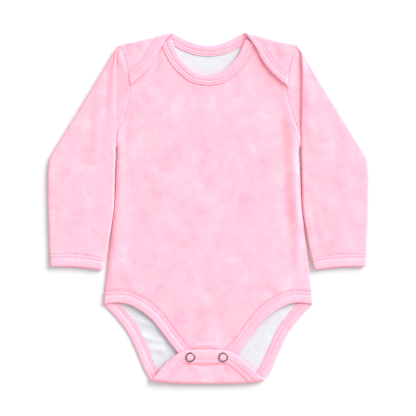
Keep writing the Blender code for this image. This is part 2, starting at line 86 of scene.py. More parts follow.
# %% [markdown]
# ## Curves through short tables
# A pattern maker draws an edge through a few measured points with a flexible ruler. A Catmull-Rom curve
# does the same in code: it passes through every row of a table and bends smoothly between them. Bezier
# handles would work too, but each would need its handles placed, and a table of plain points is easier to
# read and to change.

# %% Curve helpers
def flowing(rows, step):
    """Rows on a smooth curve through a table's rows, about step mm apart by the first two columns."""
    rows = np.array(rows, dtype=float)
    found = []
    for n in range(len(rows) - 1):
        before = rows[max(n - 1, 0)]
        start = rows[n]
        end = rows[n + 1]
        after = rows[min(n + 2, len(rows) - 1)]
        count = max(1, round(math.dist(start[:2], end[:2]) / step))
        t = np.arange(count)[:, None] / count
        bend = (2 * before - 5 * start + 4 * end - after) * t ** 2
        twist = (3 * start - before - 3 * end + after) * t ** 3
        found.append((2 * start + (end - before) * t + bend + twist) / 2)
    return np.vstack(found + [rows[-1:]])


def mirrored(rows):
    """The same rows on the other side of the middle line: every even column is an x."""
    signs = np.where(np.arange(np.shape(rows)[1]) % 2 == 0, -1.0, 1.0)
    return np.array(rows, dtype=float) * signs


def ease(share):
    """0 to 1 with a soft start and a soft end."""
    share = np.clip(share, 0.0, 1.0)
    return share * share * (3 - 2 * share)


def wander(along, lengths, seed):
    """A gentle uneven wave from -1 to 1: a few sines of the given lengths in mm, with fixed phases."""
    total = 0.0
    for n, length in enumerate(lengths):
        total = total + np.sin(2 * np.pi * along / length + 1.7 * seed + 2.3 * n)
    return total / len(lengths)


print("a curve helper and a wave helper are ready")

# %% [markdown]
# ## The pattern
# These are the flat shapes that a maker would cut, in millimetres, one half each. A binding is given by its
# finished edge and by the line where it is sewn to the panel, so the strip and the panel always fit
# together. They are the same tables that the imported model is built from.

# %% Pattern tables
# columns: edge x, edge y, seam x, seam y
FRONT_NECK = (
    (0, 147, 0, 135),
    (12.4, 149.2, 16.9, 138.1),
    (22, 155.8, 30, 146.8),
    (31.5, 166.2, 41.3, 159.3),
    (37.3, 177.6, 48.1, 172.3),
    (41, 186, 52, 181),
)
BACK_NECK = (
    (0, 179, 0, 167.2),
    (9, 179.8, 10.9, 168.1),
    (19, 182.9, 23.4, 171.8),
    (29.2, 187.8, 34.4, 177),
)
FLAP = (
    (51.4, 177.3, 61.6, 180.6),
    (57.8, 164.8, 68.2, 170.2),
    (66.2, 152.8, 75.4, 160.2),
    (76.2, 142.8, 83.6, 152.2),
    (86.6, 134.4, 88.2, 148.2),
)
FRONT_LEG = (
    (114.5, -105.3, 113.6, -91),
    (103, -103.6, 101.6, -89.8),
    (92, -104.3, 89.1, -90.6),
    (82, -108, 75.8, -95.4),
    (71.5, -114.3, 63.3, -103),
    (61.3, -123, 51.5, -113.5),
    (51.5, -135, 41.2, -127.1),
    (42, -148, 31.7, -140),
    (32.5, -159.8, 22.8, -151),
    (25, -167.8, 17.6, -155.2),
    (15, -170.8, 10.5, -156.5),
    (0, -171, 0, -156.6),
)
BACK_LEG = (
    (114.5, -105.8, 113.6, -91),
    (107.3, -113.2, 98.3, -104.7),
    (99.7, -121.5, 89.6, -114.2),
    (88, -137.2, 77.2, -131),
    (80, -153.8, 68.4, -149),
    (73.4, -169.5, 61.5, -164.8),
    (68.2, -180.8, 56, -175.8),
)
TAB = (
    (54, -180, 43.4, -189),
    (43.3, -169.2, 32.9, -177.8),
    (32, -159.9, 23.4, -170.4),
    (20, -155.6, 14, -170),
    (0, -154.9, 0, -170.1),
)
# columns: x, y, from the shoulder down
ARMHOLE = (
    (96.6, 178),
    (93.4, 167.5),
    (90.5, 157),
    (88.3, 146),
    (86.7, 134.2),
    (87.8, 119),
    (93.7, 99),
    (100.4, 82.3),
    (101.2, 70),
)
SIDE = (
    (101.2, 70),
    (99.8, 61),
    (101, 42),
    (102.6, 8.5),
    (106, -25),
    (109.5, -55),
    (113.6, -91),
)
print("half chest, mm:", 2 * SIDE[0][0])

# %% [markdown]
# ## How thick and how high
# Baby interlock is about a millimetre thick with its loft, and a binding is two folds of it. Each layer has
# its own height over the table, so that the flap lies on the front and the front lies on the back.

# %% Levels
JERSEY = 0.85
BINDING = 1.8
GAP = 0.3
# a panel's edge reaches this far under its binding, so it stops short by less than nothing
SEWN = -0.2
# the room that one panel takes with its loft
PANEL_SPACE = 1.2
BACK_LEVEL = PANEL_SPACE / 2
BACK_BINDING_LEVEL = BINDING / 2
FRONT_UNDERSIDE = BINDING + GAP
FRONT_LEVEL = FRONT_UNDERSIDE + PANEL_SPACE / 2
FRONT_BINDING_LEVEL = FRONT_UNDERSIDE + BINDING / 2
# how far a flap and the tab come to lie above the back
FLAP_RISE = 4.2
TAB_RISE = 5.7
# air between the front and the back
LOFT = 1.2
AIR_REACH = 55.0
RIPPLE = 0.12
print("front over the table, mm:", FRONT_LEVEL)

# %% [markdown]
# ## Folding the cloth
# The back is cut in one piece with its shoulder flaps and its crotch tab, and those turn over onto the
# front. The folding could be left to a cloth simulation, but a rolled fold has a known shape: cloth past
# the fold line goes round a half circle and comes back above itself. So each point of the flat pattern is
# simply sent to where the roll takes it, and every strip, panel and stitch goes through the same function.

# %% The fold lines
def shoulder_fold(side):
    """The roll from the neck point to the tip of one shoulder."""
    neck = np.array((40.0, 192.9))
    tip = np.array((96.6, 179.8))
    along = (tip - neck) / math.dist(tip, neck)
    out = np.array((-along[1], along[0]))
    radius = FLAP_RISE / 2
    x, y = neck - out * (radius + PANEL_SPACE / 2 + 0.2)
    return {"x": side * x, "y": y, "nx": side * out[0], "ny": out[1], "radius": radius, "bow": 0.0}


def crotch_fold():
    """The roll at the bottom, which bows up a little toward its ends."""
    radius = TAB_RISE / 2
    line = -192.9 + radius + PANEL_SPACE / 2 + 0.05
    return {"x": 0.0, "y": line, "nx": 0.0, "ny": -1.0, "radius": radius, "bow": 4.5}


FOLDS = {"left": shoulder_fold(-1), "right": shoulder_fold(1), "crotch": crotch_fold()}
BOW_HALF_WIDTH = 62.0
BOW_MOST = 8.0
TAB_SWING = -2.4


def past(fold, x, y):
    """How far points of the pattern lie past a fold line."""
    bow = np.minimum(fold["bow"] * (x / BOW_HALF_WIDTH) ** 4, BOW_MOST)
    return (x - fold["x"]) * fold["nx"] + (y - fold["y"]) * fold["ny"] + bow


def near(name, x, y):
    """Which points a fold can reach."""
    if name == "crotch":
        return y < 0
    return (y >= 0) & ((x > 0) if name == "right" else (x <= 0))


print("fold lines:", ", ".join(FOLDS))

# %% [markdown]
# Two functions do the folding. One sends points of the flat pattern to where they lie. The other takes
# points that are known where they lie, such as the edge of a flap, and turns them back onto the flat
# pattern.

# %% Laid and unfolded
def laid(flat, height, level):
    """Where points of the flat pattern are once laid: height is measured up from the layer's middle."""
    x = flat[:, 0]
    y = flat[:, 1]
    found = np.column_stack([x, y, level + height])
    for name, fold in FOLDS.items():
        s = past(fold, x, y)
        turned = near(name, x, y) & (s > 0)
        radius = fold["radius"]
        angle = np.minimum(s / radius, np.pi)
        out = (radius - height) * np.sin(angle) - np.maximum(0.0, s - np.pi * radius)
        swing = TAB_SWING * ease(s / 30.0) if name == "crotch" else 0.0
        rolled = np.column_stack([
            x - fold["nx"] * s + fold["nx"] * out + swing,
            y - fold["ny"] * s + fold["ny"] * out,
            level + radius - (radius - height) * np.cos(angle),
        ])
        found[turned] = rolled[turned]
    return found


def unfolded(rows):
    """Flap or tab points, given where they lie, turned back onto the flat pattern."""
    x, y = np.array(rows, dtype=float)[:, :2].T
    found = np.column_stack([x, y])
    for name, fold in FOLDS.items():
        mine = near(name, x, y)
        out = np.pi * fold["radius"] - 2 * past(fold, x, y)
        found[mine] += (np.outer(out, (fold["nx"], fold["ny"])))[mine]
    return found


print("length of cloth in a shoulder roll, mm:", round(math.pi * FLAP_RISE / 2, 1))

# %% [markdown]
# ## The run of each edge
# From the tables come the full edges: a binding's rows run from one side's end, over the middle line, to
# the other side's end.

# %% Edges
def from_side_to_side(half):
    """Rows from the left end to the right end, given the right half from its end to the middle line."""
    return np.vstack([mirrored(half), half[::-1][1:]])


def unfolded_rows(rows):
    rows = np.array(rows)
    return np.hstack([unfolded(rows[:, :2]), unfolded(rows[:, 2:])])


def neck_back_half(step):
    return flowing(np.vstack([unfolded_rows(FLAP)[::-1], np.array(BACK_NECK)[::-1]]), step)


def neck_front_half(step):
    return flowing(FRONT_NECK[::-1], step)


def leg_front_half(step):
    return flowing(FRONT_LEG, step)


def leg_back_half(step):
    return flowing(np.vstack([BACK_LEG, unfolded_rows(TAB)]), step)


print("leg binding, one side, mm:", round(len(leg_back_half(1.0))))

# %% [markdown]
# ## Soft folds of the body
# Laid cloth is never quite flat. The front stands off the back where air is caught between them, and it rises
# to a long soft ridge inside each side seam. Each fold is one row of a table: where it starts and ends, how
# much it bows, its half width and its height, with troughs below zero. They are placed one by one, as uneven
# as on the real thing. A simulation would place them by chance.

# %% Fold tables
# columns: x0, y0, x1, y1, bow, half width, height
FRONT_CREASES = (
    (91.5, 126, 98, -32, 0, 13, 2.6),
    (96.5, 22, 99.5, -84, 0, 8.5, 1.3),
    (-100, 104, -108, -102, 0, 22, 1.3),
    (56, 172, 86, 129.5, -2, 8, -0.8),
    (-90, 116, -94, 40, 1, 8, -0.7),
    (-80, 128, -60, 104, 2, 10, -0.35),
    (80, 124, 58, 98, -2, 11, -0.4),
    (70, -96, 96, -60, 0, 12, 0.8),
    (-70, -98, -98, -58, 0, 12, 0.55),
    (-86, -86, -40, -78, 3, 10, -0.3),
    (30, -92, 88, -84, -3, 9, -0.35),
    (-52, 40, -12, 66, 4, 15, 0.25),
    (18, 20, 66, 44, -5, 16, -0.25),
    (-60, -30, -20, -52, 4, 16, -0.25),
    (10, -50, 52, -30, 4, 14, 0.25),
    (-14, -108, -18, -148, 2, 9, -0.45),
    (12, -112, 16, -150, -2, 8, -0.4),
    (0, -120, -2, -152, 0, 7, 0.3),
    (-20, -153.5, 15, -153, 3, 3.4, 0.75),
    (60, 150, 64, 128, 0, 9, -0.35),
    (-53, 178, -61, 146, 1, 5, -0.9),
    (-58, 158, -66, 134, 0, 8, -0.3),
)
# the back, where it shows through the neck and the leg openings
BACK_CREASES = (
    (-84, -124, -52, -131, 2, 6, 0.9),
    (-78, -138, -46, -146, -2, 5.5, 0.8),
    (-72, -154, -44, -158, 2, 6.5, 0.9),
    (88, -116, 60, -128, -3, 8, 0.4),
    (70, -140, 50, -152, 3, 8, 0.35),
    (-20, 150, 16, 154, 3, 10, 0.3),
)
# the flaps and the tab, given where they lie
FLAP_CREASES = (
    (68, 184, 85.5, 150, -2, 7, -0.55),
    (92.5, 190, 87, 138, 0, 9, -0.75),
    (76, 184, 84, 168, 0, 5, 0.25),
    (-78, 184, -84, 158, 0, 6, -0.5),
    (-60, 184, -72, 164, 2, 7, -0.4),
    (-93, 190, -87, 138, 0, 10, -0.85),
    (-19, -169.5, 13, -169.5, -4, 3.6, -0.85),
    (-22, -168, -24, -184, 1, 4, -0.5),
    (-10, -172, -12, -186, 0, 3.5, 0.3),
    (8, -172, 10, -186, 0, 3.5, 0.3),
    (17, -168, 21, -184, -1, 4, -0.5),
)
print("soft folds placed by hand:", len(FRONT_CREASES) + len(BACK_CREASES) + len(FLAP_CREASES))

# %% [markdown]
# ## How high the cloth stands
# Each fold has a round section and fades at both ends. The front adds them up with the air under it, the
# swell where it carries a flap, and a faint ripple, because cloth with none looks like plastic.

# %% Rise of the front and the back
def creased(table, x, y):
    """Sum of a table's folds at points x, y."""
    total = np.zeros_like(x)
    for x0, y0, x1, y1, bow, half, height in table:
        length = math.dist((x0, y0), (x1, y1))
        tx, ty = (x1 - x0) / length, (y1 - y0) / length
        share = ((x - x0) * tx + (y - y0) * ty) / length
        away = (x - x0) * -ty + (y - y0) * tx - bow * (1 - (2 * share - 1) ** 2)
        across = np.clip(1 - (away / half) ** 2, 0.0, 1.0) ** 2
        total += height * across * ease(share * 4) * ease((1 - share) * 4)
    return total


def half_width(y):
    """Half the body's width at a height y."""
    side = np.array(ARMHOLE + SIDE[1:])[::-1]
    return np.interp(y, side[:, 1], side[:, 0])


# by side, left -1 and right 1: the right flap stands clearer of the front than the left one
FLAP_SWELL = {-1: 0.1, 1: 0.7}
FLAP_SLOPE = 9.0


def under_flap(x, y):
    """The front swells where it carries a flap, and slopes away in front of the flap's edge."""
    edge = np.array(FLAP)[::-1]
    free_x = np.interp(y, edge[:, 1], edge[:, 0])
    outside = np.clip((free_x - np.abs(x)) * 0.75, 0.0, None) + np.clip(edge[0, 1] - y, 0.0, None)
    swell = np.where(x < 0, FLAP_SWELL[-1], FLAP_SWELL[1])
    return swell * ease(1 - outside / FLAP_SLOPE) * ease((174.0 - y) / 14.0)


def front_rise(x, y):
    """How far the front stands above its lowest level."""
    inward = half_width(y) - np.abs(x)
    air = LOFT * ease(inward / AIR_REACH) * ease((126.0 - y) / 40.0) * ease((y + 150.0) / 70.0)
    ripple = RIPPLE * ease(inward / 20.0) * wander(x + 0.4 * y, (47.0, 31.0, 23.0), 2)
    lowest = -0.4 - 0.7 * ease((np.abs(x) - 52.0) / 12.0) * ease((y + 85.0) / 12.0)
    return np.maximum(air + under_flap(x, y) + creased(FRONT_CREASES, x, y) + ripple, lowest)


def back_rise(x, y):
    """Small folds of the back, which shows through the neck and the leg openings."""
    return np.maximum(creased(BACK_CREASES, x, y), 0.0)


print("front at its middle, mm over its level:", round(front_rise(np.zeros(1), np.zeros(1))[0], 2))

# %% [markdown]
# ## From real measures to colours and nodes
# A colour is easiest to name as an sRGB hex value, and Blender's shaders want linear light, so one function
# turns one into the other. Another small function adds a node with its settings and links, and every
# material below is built with it.

# %% Material helpers
def linear(hex_colour):
    """An sRGB hex colour as linear red, green, blue and alpha."""
    found = []
    for n in (1, 3, 5):
        share = int(hex_colour[n:n + 2], 16) / 255
        found.append(share / 12.92 if share <= 0.04045 else ((share + 0.055) / 1.055) ** 2.4)
    return (*found, 1.0)


def add(tree, kind, settings=(), links=()):
    """One node: settings go on its sockets or on itself, links are pairs of a socket and what feeds it."""
    node = tree.nodes.new(kind)
    for name, value in dict(settings).items():
        if isinstance(name, int) or name in node.inputs:
            node.inputs[name].default_value = value
        else:
            setattr(node, name, value)
    for name, source in dict(links).items():
        tree.links.new(source, node.inputs[name])
    return node


def new_material(name):
    """An empty node material, with its tree."""
    made = bpy.data.materials.new(name)
    made.use_nodes = True
    made.node_tree.nodes.clear()
    return made, made.node_tree


print("linear mid pink:", [round(v, 3) for v in linear("#FCD0E1")[:3]])

# %% [markdown]
# ## Mottled cotton jersey
# The cloth is a soft cotton knit, dyed unevenly so that paler and deeper pinks drift into each other in
# clouds of one or two centimetres. Cotton has no gloss, but its short fibres catch light at the edges,
# which is what sheen gives. The clouds could be painted, but a noise in three sizes makes them endless and
# never repeats. The knit's wales are really about 0.7 mm apart. That is too fine to show at this distance,
# so they are drawn about twice as coarse, and only as a faint bump.

# %% Jersey
# sizes of the clouds, their patches and the flecks of fibre, and the width of a wale
CLOUD = 26.0
PATCH = 9.0
FLECK = 1.9
WALE = 1.5
# another number here moves the clouds to other places
DYE = 0.0


def jersey(name, deep, mid, pale, strength):
    """Cotton jersey that drifts between three colours."""
    made, tree = new_material(name)
    where = add(tree, "ShaderNodeTexCoord")
    clouds = add(tree, "ShaderNodeTexNoise",
                 {"noise_dimensions": "4D", "Scale": 1 / (CLOUD * MM), "W": DYE, "Detail": 3.0,
                  "Roughness": 0.5, "Distortion": 0.35},
                 {"Vector": where.outputs["Object"]})
    patches = add(tree, "ShaderNodeTexNoise",
                  {"Scale": 1 / (PATCH * MM), "Detail": 3.0, "Roughness": 0.55, "Distortion": 0.3},
                  {"Vector": where.outputs["Object"]})
    flecks = add(tree, "ShaderNodeTexNoise",
                 {"Scale": 1 / (FLECK * MM), "Detail": 2.0, "Roughness": 0.6},
                 {"Vector": where.outputs["Object"]})
    both = add(tree, "ShaderNodeMath", {"operation": "MULTIPLY_ADD", 1: 0.9},
               {0: patches.outputs["Fac"], 2: clouds.outputs["Fac"]})
    all_three = add(tree, "ShaderNodeMath", {"operation": "MULTIPLY_ADD", 1: 0.85},
                    {0: flecks.outputs["Fac"], 2: both.outputs[0]})
    depth = add(tree, "ShaderNodeMapRange", {"From Min": 0.96, "From Max": 1.79},
                {"Value": all_three.outputs[0]})
    smooth = {"interpolation_type": "SMOOTHSTEP"}
    low = add(tree, "ShaderNodeMapRange", {"From Min": 0.0, "From Max": 0.5, **smooth},
              {"Value": depth.outputs[0]})
    high = add(tree, "ShaderNodeMapRange", {"From Min": 0.5, "From Max": 1.0, **smooth},
               {"Value": depth.outputs[0]})
    lower = add(tree, "ShaderNodeMix", {"data_type": "RGBA", 6: linear(deep), 7: linear(mid)},
                {0: low.outputs[0]})
    colour = add(tree, "ShaderNodeMix", {"data_type": "RGBA", 7: linear(pale)},
                 {0: high.outputs[0], 6: lower.outputs[2]})
    wale = WALE * MM
    stretched = add(tree, "ShaderNodeMapping", {"Scale": (1 / wale, 1 / (2.2 * wale), 1 / wale)},
                    {"Vector": where.outputs["Object"]})
    knit = add(tree, "ShaderNodeTexNoise", {"Scale": 1.0, "Detail": 2.0, "Roughness": 0.5},
               {"Vector": stretched.outputs[0]})
    bump = add(tree, "ShaderNodeBump", {"Strength": strength, "Distance": 0.3 * MM},
               {"Height": knit.outputs["Fac"]})
    shader = add(tree, "ShaderNodeBsdfPrincipled",
                 {"Roughness": 0.92, "IOR": 1.5, "Specular IOR Level": 0.2, "Sheen Weight": 0.05,
                  "Sheen Roughness": 0.5},
                 {"Base Color": colour.outputs[2], "Normal": bump.outputs[0]})
    add(tree, "ShaderNodeOutputMaterial", {}, {"Surface": shader.outputs[0]})
    return made


pink_jersey = jersey("mottled_pink_cotton_jersey", "#FEA3B7", "#FEB0C1", "#FEBDCA", 0.45)
pink_binding = jersey("pink_cotton_binding", "#FEAABD", "#FEB2C4", "#FEBACA", 0.4)
white_inside = jersey("white_cotton_inside", "#C8C8CD", "#CECED2", "#D3D3D6", 0.35)
print("jersey materials:", pink_jersey.name, pink_binding.name, white_inside.name)

# %% [markdown]
# ## Thread and metal
# The thread is spun polyester, a little glossier than the cloth and a much deeper pink: the deeper pink is
# painted shade, so that the dips between the stitches read dark. The snap rings are brass with a dark nickel
# plate: a metal, so its colour is its reflection, and its roughness is low. It is lighter and a little
# rougher in patches a few millimetres across.

# %% Thread, nickel
def thread(name, colour):
    """Spun polyester sewing thread. Its twist, really 0.3 mm, is a fine bump drawn at 0.6 mm."""
    made, tree = new_material(name)
    where = add(tree, "ShaderNodeTexCoord")
    twist = add(tree, "ShaderNodeTexWave",
                {"Scale": 1 / (2 * math.pi * 0.1 * MM), "bands_direction": "DIAGONAL"},
                {"Vector": where.outputs["Object"]})
    bump = add(tree, "ShaderNodeBump", {"Strength": 0.2, "Distance": 0.1 * MM},
               {"Height": twist.outputs["Fac"]})
    shader = add(tree, "ShaderNodeBsdfPrincipled",
                 {"Base Color": linear(colour), "Roughness": 0.6, "IOR": 1.55, "Sheen Weight": 0.2},
                 {"Normal": bump.outputs[0]})
    add(tree, "ShaderNodeOutputMaterial", {}, {"Surface": shader.outputs[0]})
    return made


def dark_nickel(name):
    """Black nickel plate, lighter and a little rougher in patches a few millimetres across."""
    made, tree = new_material(name)
    where = add(tree, "ShaderNodeTexCoord")
    light_patches = add(tree, "ShaderNodeTexNoise", {"Scale": 1 / (2.5 * MM), "Detail": 3.0},
               {"Vector": where.outputs["Object"]})
    shine = add(tree, "ShaderNodeMapRange",
                {"From Min": 0.3, "From Max": 0.7, "To Min": 0.28, "To Max": 0.45},
                {"Value": light_patches.outputs["Fac"]})
    colour = add(tree, "ShaderNodeMix", {"data_type": "RGBA", 6: linear("#5A625C"), 7: linear("#8D948E")},
                 {0: light_patches.outputs["Fac"]})
    shader = add(tree, "ShaderNodeBsdfPrincipled", {"Metallic": 1.0},
                 {"Base Color": colour.outputs[2], "Roughness": shine.outputs[0]})
    add(tree, "ShaderNodeOutputMaterial", {}, {"Surface": shader.outputs[0]})
    return made


# the thread is a much deeper pink than the cloth: painted shade, so that the dips between stitches read dark
thread_painted_shade = thread("polyester_thread_painted_shade", "#D4748F")
nickel = dark_nickel("black_nickel_plate")
print("trim materials:", thread_painted_shade.name, nickel.name)

# %% [markdown]
# ## A layer of cloth
# A panel is a flat outline filled with triangles, doubled into an upper and a lower face that meet in a
# rounded rim. Blender's Solidify could thicken it, but here the two faces need different colours, pink
# outside and white inside, and the rim has to stay round through the folds. The triangles come from
# Blender's own Delaunay triangulation of a staggered grid, with closer rows along the rim and round each
# roll.

# %% Panel helpers
RIM_ROWS = (0.2, 0.55, 1.3, 2.4)
ROLL_ROWS = 14
ROLL_HALF_LENGTH = 75.0
ROLL_SPACING = 1.8


def inside(loop, points):
    """Which points lie inside a closed outline."""
    hit = np.zeros(len(points), dtype=bool)
    x, y = points.T
    for (ax, ay), (bx, by) in zip(loop, np.roll(loop, -1, axis=0)):
        if ay == by:
            continue
        crosses = (ay > y) != (by > y)
        hit ^= crosses & (x < ax + (bx - ax) * (y - ay) / (by - ay))
    return hit


def reach(line, points, closed=False):
    """Distance from points to a line, and how far along the line the nearest place is."""
    ends = np.roll(line, -1, axis=0) if closed else line[1:]
    best = np.full(len(points), 1e9)
    along = np.zeros(len(points))
    run = 0.0
    for a, b in zip(line, ends):
        span = b - a
        length = math.hypot(*span)
        if length < 1e-6:
            continue
        share = np.clip((points - a) @ span / length ** 2, 0.0, 1.0)
        away = np.hypot(*(points - a - share[:, None] * span).T)
        closer = away < best
        best[closer] = away[closer]
        along[closer] = run + share[closer] * length
        run += length
    return best, along


print("a point 4 mm over a line's end is away, mm:",
      reach(np.array([(0.0, 0.0), (3.0, 0.0)]), np.array([(3.0, 4.0)]))[0][0])

# %% [markdown]
# An outline gets even points, and closer ones where it goes round a roll. Inside it come rows along the
# rim, rows round each roll, and a staggered grid for the rest, so that the cloth bends smoothly where it
# has to.

# %% Outline and filling
def outline(points, step):
    """A closed outline, anticlockwise, with even points about step apart and closer ones on the rolls."""
    found = []
    for a, b in zip(points, np.roll(points, -1, axis=0)):
        length = math.dist(a, b)
        if length < 0.05:
            continue
        middle = ((a + b) / 2)[None, :]
        x, y = middle[:, 0], middle[:, 1]
        rolled = any(near(name, x, y)[0] and -1.0 < past(fold, x, y)[0] < math.pi * fold["radius"] + 1.0
                     for name, fold in FOLDS.items())
        count = max(1, round(length / (0.5 if rolled else step)))
        found += [a + (b - a) * n / count for n in range(count)]
    found = np.array(found)
    following = np.roll(found, -1, axis=0)
    turn = np.sum(found[:, 0] * following[:, 1] - following[:, 0] * found[:, 1])
    return found if turn > 0 else found[::-1]


def filling(loop, grid):
    """Points inside an outline: rows along the rim, rows round each roll, and a staggered grid."""
    along = np.roll(loop, -1, axis=0) - np.roll(loop, 1, axis=0)
    along /= np.maximum(np.hypot(*along.T), 1e-6)[:, None]
    inward = np.column_stack([-along[:, 1], along[:, 0]])
    kept = np.empty((0, 2))
    for row in RIM_ROWS:
        points = loop + inward * row
        points = points[::2] if row > 1.0 else points
        away, _ = reach(loop, points, closed=True)
        points = points[inside(loop, points) & (away > 0.9 * row)]
        kept = np.vstack([kept, points])
    rolls = []
    for name, fold in FOLDS.items():
        for k in range(ROLL_ROWS + 1):
            out = math.pi * fold["radius"] * k / ROLL_ROWS
            line = np.arange(-ROLL_HALF_LENGTH, ROLL_HALF_LENGTH, ROLL_SPACING)
            x = fold["x"] - fold["ny"] * line + fold["nx"] * out
            y = fold["y"] + fold["nx"] * line + fold["ny"] * out
            y = y + np.minimum(fold["bow"] * (x / BOW_HALF_WIDTH) ** 4, BOW_MOST)
            mine = near(name, x, y)
            rolls.append(np.column_stack([x, y])[mine])
    rolls = np.vstack(rolls)
    low = loop.min(axis=0)
    high = loop.max(axis=0)
    columns = np.arange(low[0], high[0], grid)
    plain = []
    for n, y in enumerate(np.arange(low[1], high[1], grid * 0.87)):
        plain.append(np.column_stack([columns + 0.5 * grid * (n % 2), np.full(len(columns), y)]))
    plain = np.vstack(plain)
    for name, fold in FOLDS.items():
        s = past(fold, plain[:, 0], plain[:, 1])
        on_roll = near(name, plain[:, 0], plain[:, 1]) & (s > -0.8) & (s < math.pi * fold["radius"] + 0.8)
        plain = plain[~on_roll]
    for points in (rolls, plain):
        away, _ = reach(loop, points, closed=True)
        kept = np.vstack([kept, points[inside(loop, points) & (away > RIM_ROWS[-1] + 0.7)]])
    return kept


print("rows of points round each roll:", ROLL_ROWS + 1)

# %% [markdown]
# The last two helpers make the meshes. A layer of cloth has a round rim, where its two faces meet in one
# row of points, so that its edge catches light as a real cut edge does.

# %% Cloth and layers
def cloth_object(name, places, faces, materials, numbers):
    """A smooth mesh object from places in mm, with a material number for each face."""
    mesh = bpy.data.meshes.new(name)
    mesh.from_pydata((np.asarray(places) * MM).tolist(), [], faces)
    for material in materials:
        mesh.materials.append(material)
    mesh.polygons.foreach_set("material_index", numbers)
    mesh.shade_smooth()
    made = bpy.data.objects.new(name, mesh)
    bpy.context.scene.collection.objects.link(made)
    return made


def layer(name, loop, grid, level, shape, over, under):
    """Cloth from its outline. shape gives its middle's height at points of the pattern, and is told how far
    they are from the rim."""
    inner = filling(loop, grid)
    flat = np.vstack([loop, inner])
    count = len(loop)
    edges = [(n, (n + 1) % count) for n in range(count)]
    points, _, faces, _, _, _ = delaunay_2d_cdt([Vector(p) for p in flat], edges, [], 1, 1e-6)
    flat = np.array([tuple(p) for p in points])
    away, _ = reach(loop, flat, closed=True)
    half = JERSEY / 2
    round_rim = half * np.sqrt(1 - (1 - np.clip(away / half, 0, 1)) ** 2)
    middle = shape(flat, away)
    top = laid(flat, middle + round_rim, level)
    bottom = laid(flat, middle - round_rim, level)
    on_rim = away < 1e-3
    total = len(flat)
    lower = np.where(on_rim, np.arange(total), np.arange(total) + total)
    tris = np.array(faces)
    a, b, c = flat[tris[:, 0]], flat[tris[:, 1]], flat[tris[:, 2]]
    turn = (b[:, 0] - a[:, 0]) * (c[:, 1] - a[:, 1]) - (b[:, 1] - a[:, 1]) * (c[:, 0] - a[:, 0])
    tris[turn < 0] = tris[turn < 0][:, ::-1]
    both = np.vstack([tris, lower[tris[:, ::-1]]])
    used = np.unique(both)
    new_number = np.zeros(2 * total, dtype=int)
    new_number[used] = np.arange(len(used))
    places = np.vstack([top, bottom])[used]
    numbers = np.repeat([0, 1], len(tris)).astype(np.int32)
    made = cloth_object(name, places, new_number[both].tolist(), [over, under], numbers)
    size = loop.max(axis=0) - loop.min(axis=0)
    made["cut"] = [size[0] * MM, size[1] * MM, abs(turn).sum() / 2 * MM * MM]
    print(name, "triangles:", len(both), "cut, mm:", np.round(size),
          "area, cm2:", round(abs(turn).sum() / 200))
    return made


print("panel rows along a rim, mm:", RIM_ROWS)

# %% [markdown]
# ## The front panel
# The front is one piece: chest, belly, the ends under the flaps and the end under the tab. Where it is sewn
# to a sleeve, the seam turns inside and leaves a soft furrow with small puckers. Along the sides it rolls
# down to meet the back. Both are worked out from the distance to the seam, so they follow it exactly.

# %% Front panel
# the armhole seam: width of its roll, depth of its furrow, height of the ridge beside it
SEAM_ROLL = 1.8
SEAM_DROP = 0.55
SEAM_RIDGE = 0.3
# the side seam, with the width over which the front comes down to it and the share of its rise that stays
SIDE_ROLL = 3.2
SIDE_DROP = 1.5
SIDE_FALL = 5.4
SIDE_STANDS = 0.15
# the front's shoulder parts end in this edge, hidden under the flaps
HIDDEN_EDGE = ((62.0, 180.3), (76.0, 177.2), (88.0, 174.6))
HIDDEN_END = 173.5
# beside a binding the panel rolls down over this width, by this much
BOUND_ROLL = 1.5
BOUND_DROP = 0.45
# spacing of the points round a panel and inside each of them
STEP = 1.6
FRONT_GRID = 2.2
BACK_GRID = 2.4


def seam_line(rows, gap):
    """Where a panel stops short of a binding's seam."""
    edge = rows[:, :2]
    seam = rows[:, 2:]
    out = (seam - edge) / np.hypot(*(seam - edge).T)[:, None]
    return seam + out * gap


def rolled_down(away, radius, drop):
    """A quarter roll: 0 far from an edge, -drop at the edge."""
    share = np.clip(1 - away / radius, 0.0, 1.0)
    return -drop * (1 - np.sqrt(1 - 0.999 * share ** 2))


def seam_roll(away):
    """Cloth beside a seam: a low ridge, then a roll down into the furrow."""
    return rolled_down(away, SEAM_ROLL, SEAM_DROP) + SEAM_RIDGE * np.exp(-((away - 2.0) / 1.1) ** 2)


def pucker(away, along, seed):
    """Small uneven gathers beside a seam."""
    fade = np.exp(-(away / 5.0) ** 2) * ease(away / 1.0)
    return 0.16 * fade * wander(along, (7.0, 5.1, 9.7), seed)


armhole_line = flowing(ARMHOLE, 2.0)
side_line = flowing(SIDE, 4.0)


def front_outline():
    right = list(seam_line(neck_front_half(STEP), SEWN)[::-1])
    right += [np.array(p) for p in HIDDEN_EDGE]
    down = np.vstack([flowing(ARMHOLE, STEP)[:-1], flowing(SIDE, 2 * STEP)[:-1]])
    right += [p for p in down if p[1] < HIDDEN_END]
    right += list(seam_line(leg_front_half(STEP), SEWN))
    right = np.array(right)
    left = mirrored(right)[::-1]
    return outline(np.vstack([right, left[np.abs(left[:, 0]) > 0.01]]), STEP)


def front_shape(flat, away):
    x, y = flat.T
    height = front_rise(x, y)
    for sign in (1, -1):
        seam = armhole_line * (sign, 1)
        far, along = reach(seam, flat)
        height += seam_roll(far) * ease((135.0 - y) / 4.0) + pucker(far, along, 3 + sign)
        far, along = reach(side_line * (sign, 1), flat)
        height = height * (SIDE_STANDS + (1 - SIDE_STANDS) * ease(far / SIDE_FALL))
        height += rolled_down(far, SIDE_ROLL, SIDE_DROP) + pucker(far, along, 5 + sign)
    for rows in (from_side_to_side(neck_front_half(3.0)), from_side_to_side(leg_front_half(3.0))):
        far, along = reach(rows[:, 2:], flat)
        height += rolled_down(far, BOUND_ROLL, BOUND_DROP) + pucker(far, along, 8)
    return np.maximum(height, -1.1)


front_panel = layer("front_panel_cloth", front_outline(), FRONT_GRID, FRONT_LEVEL, front_shape,
                    pink_jersey, white_inside)

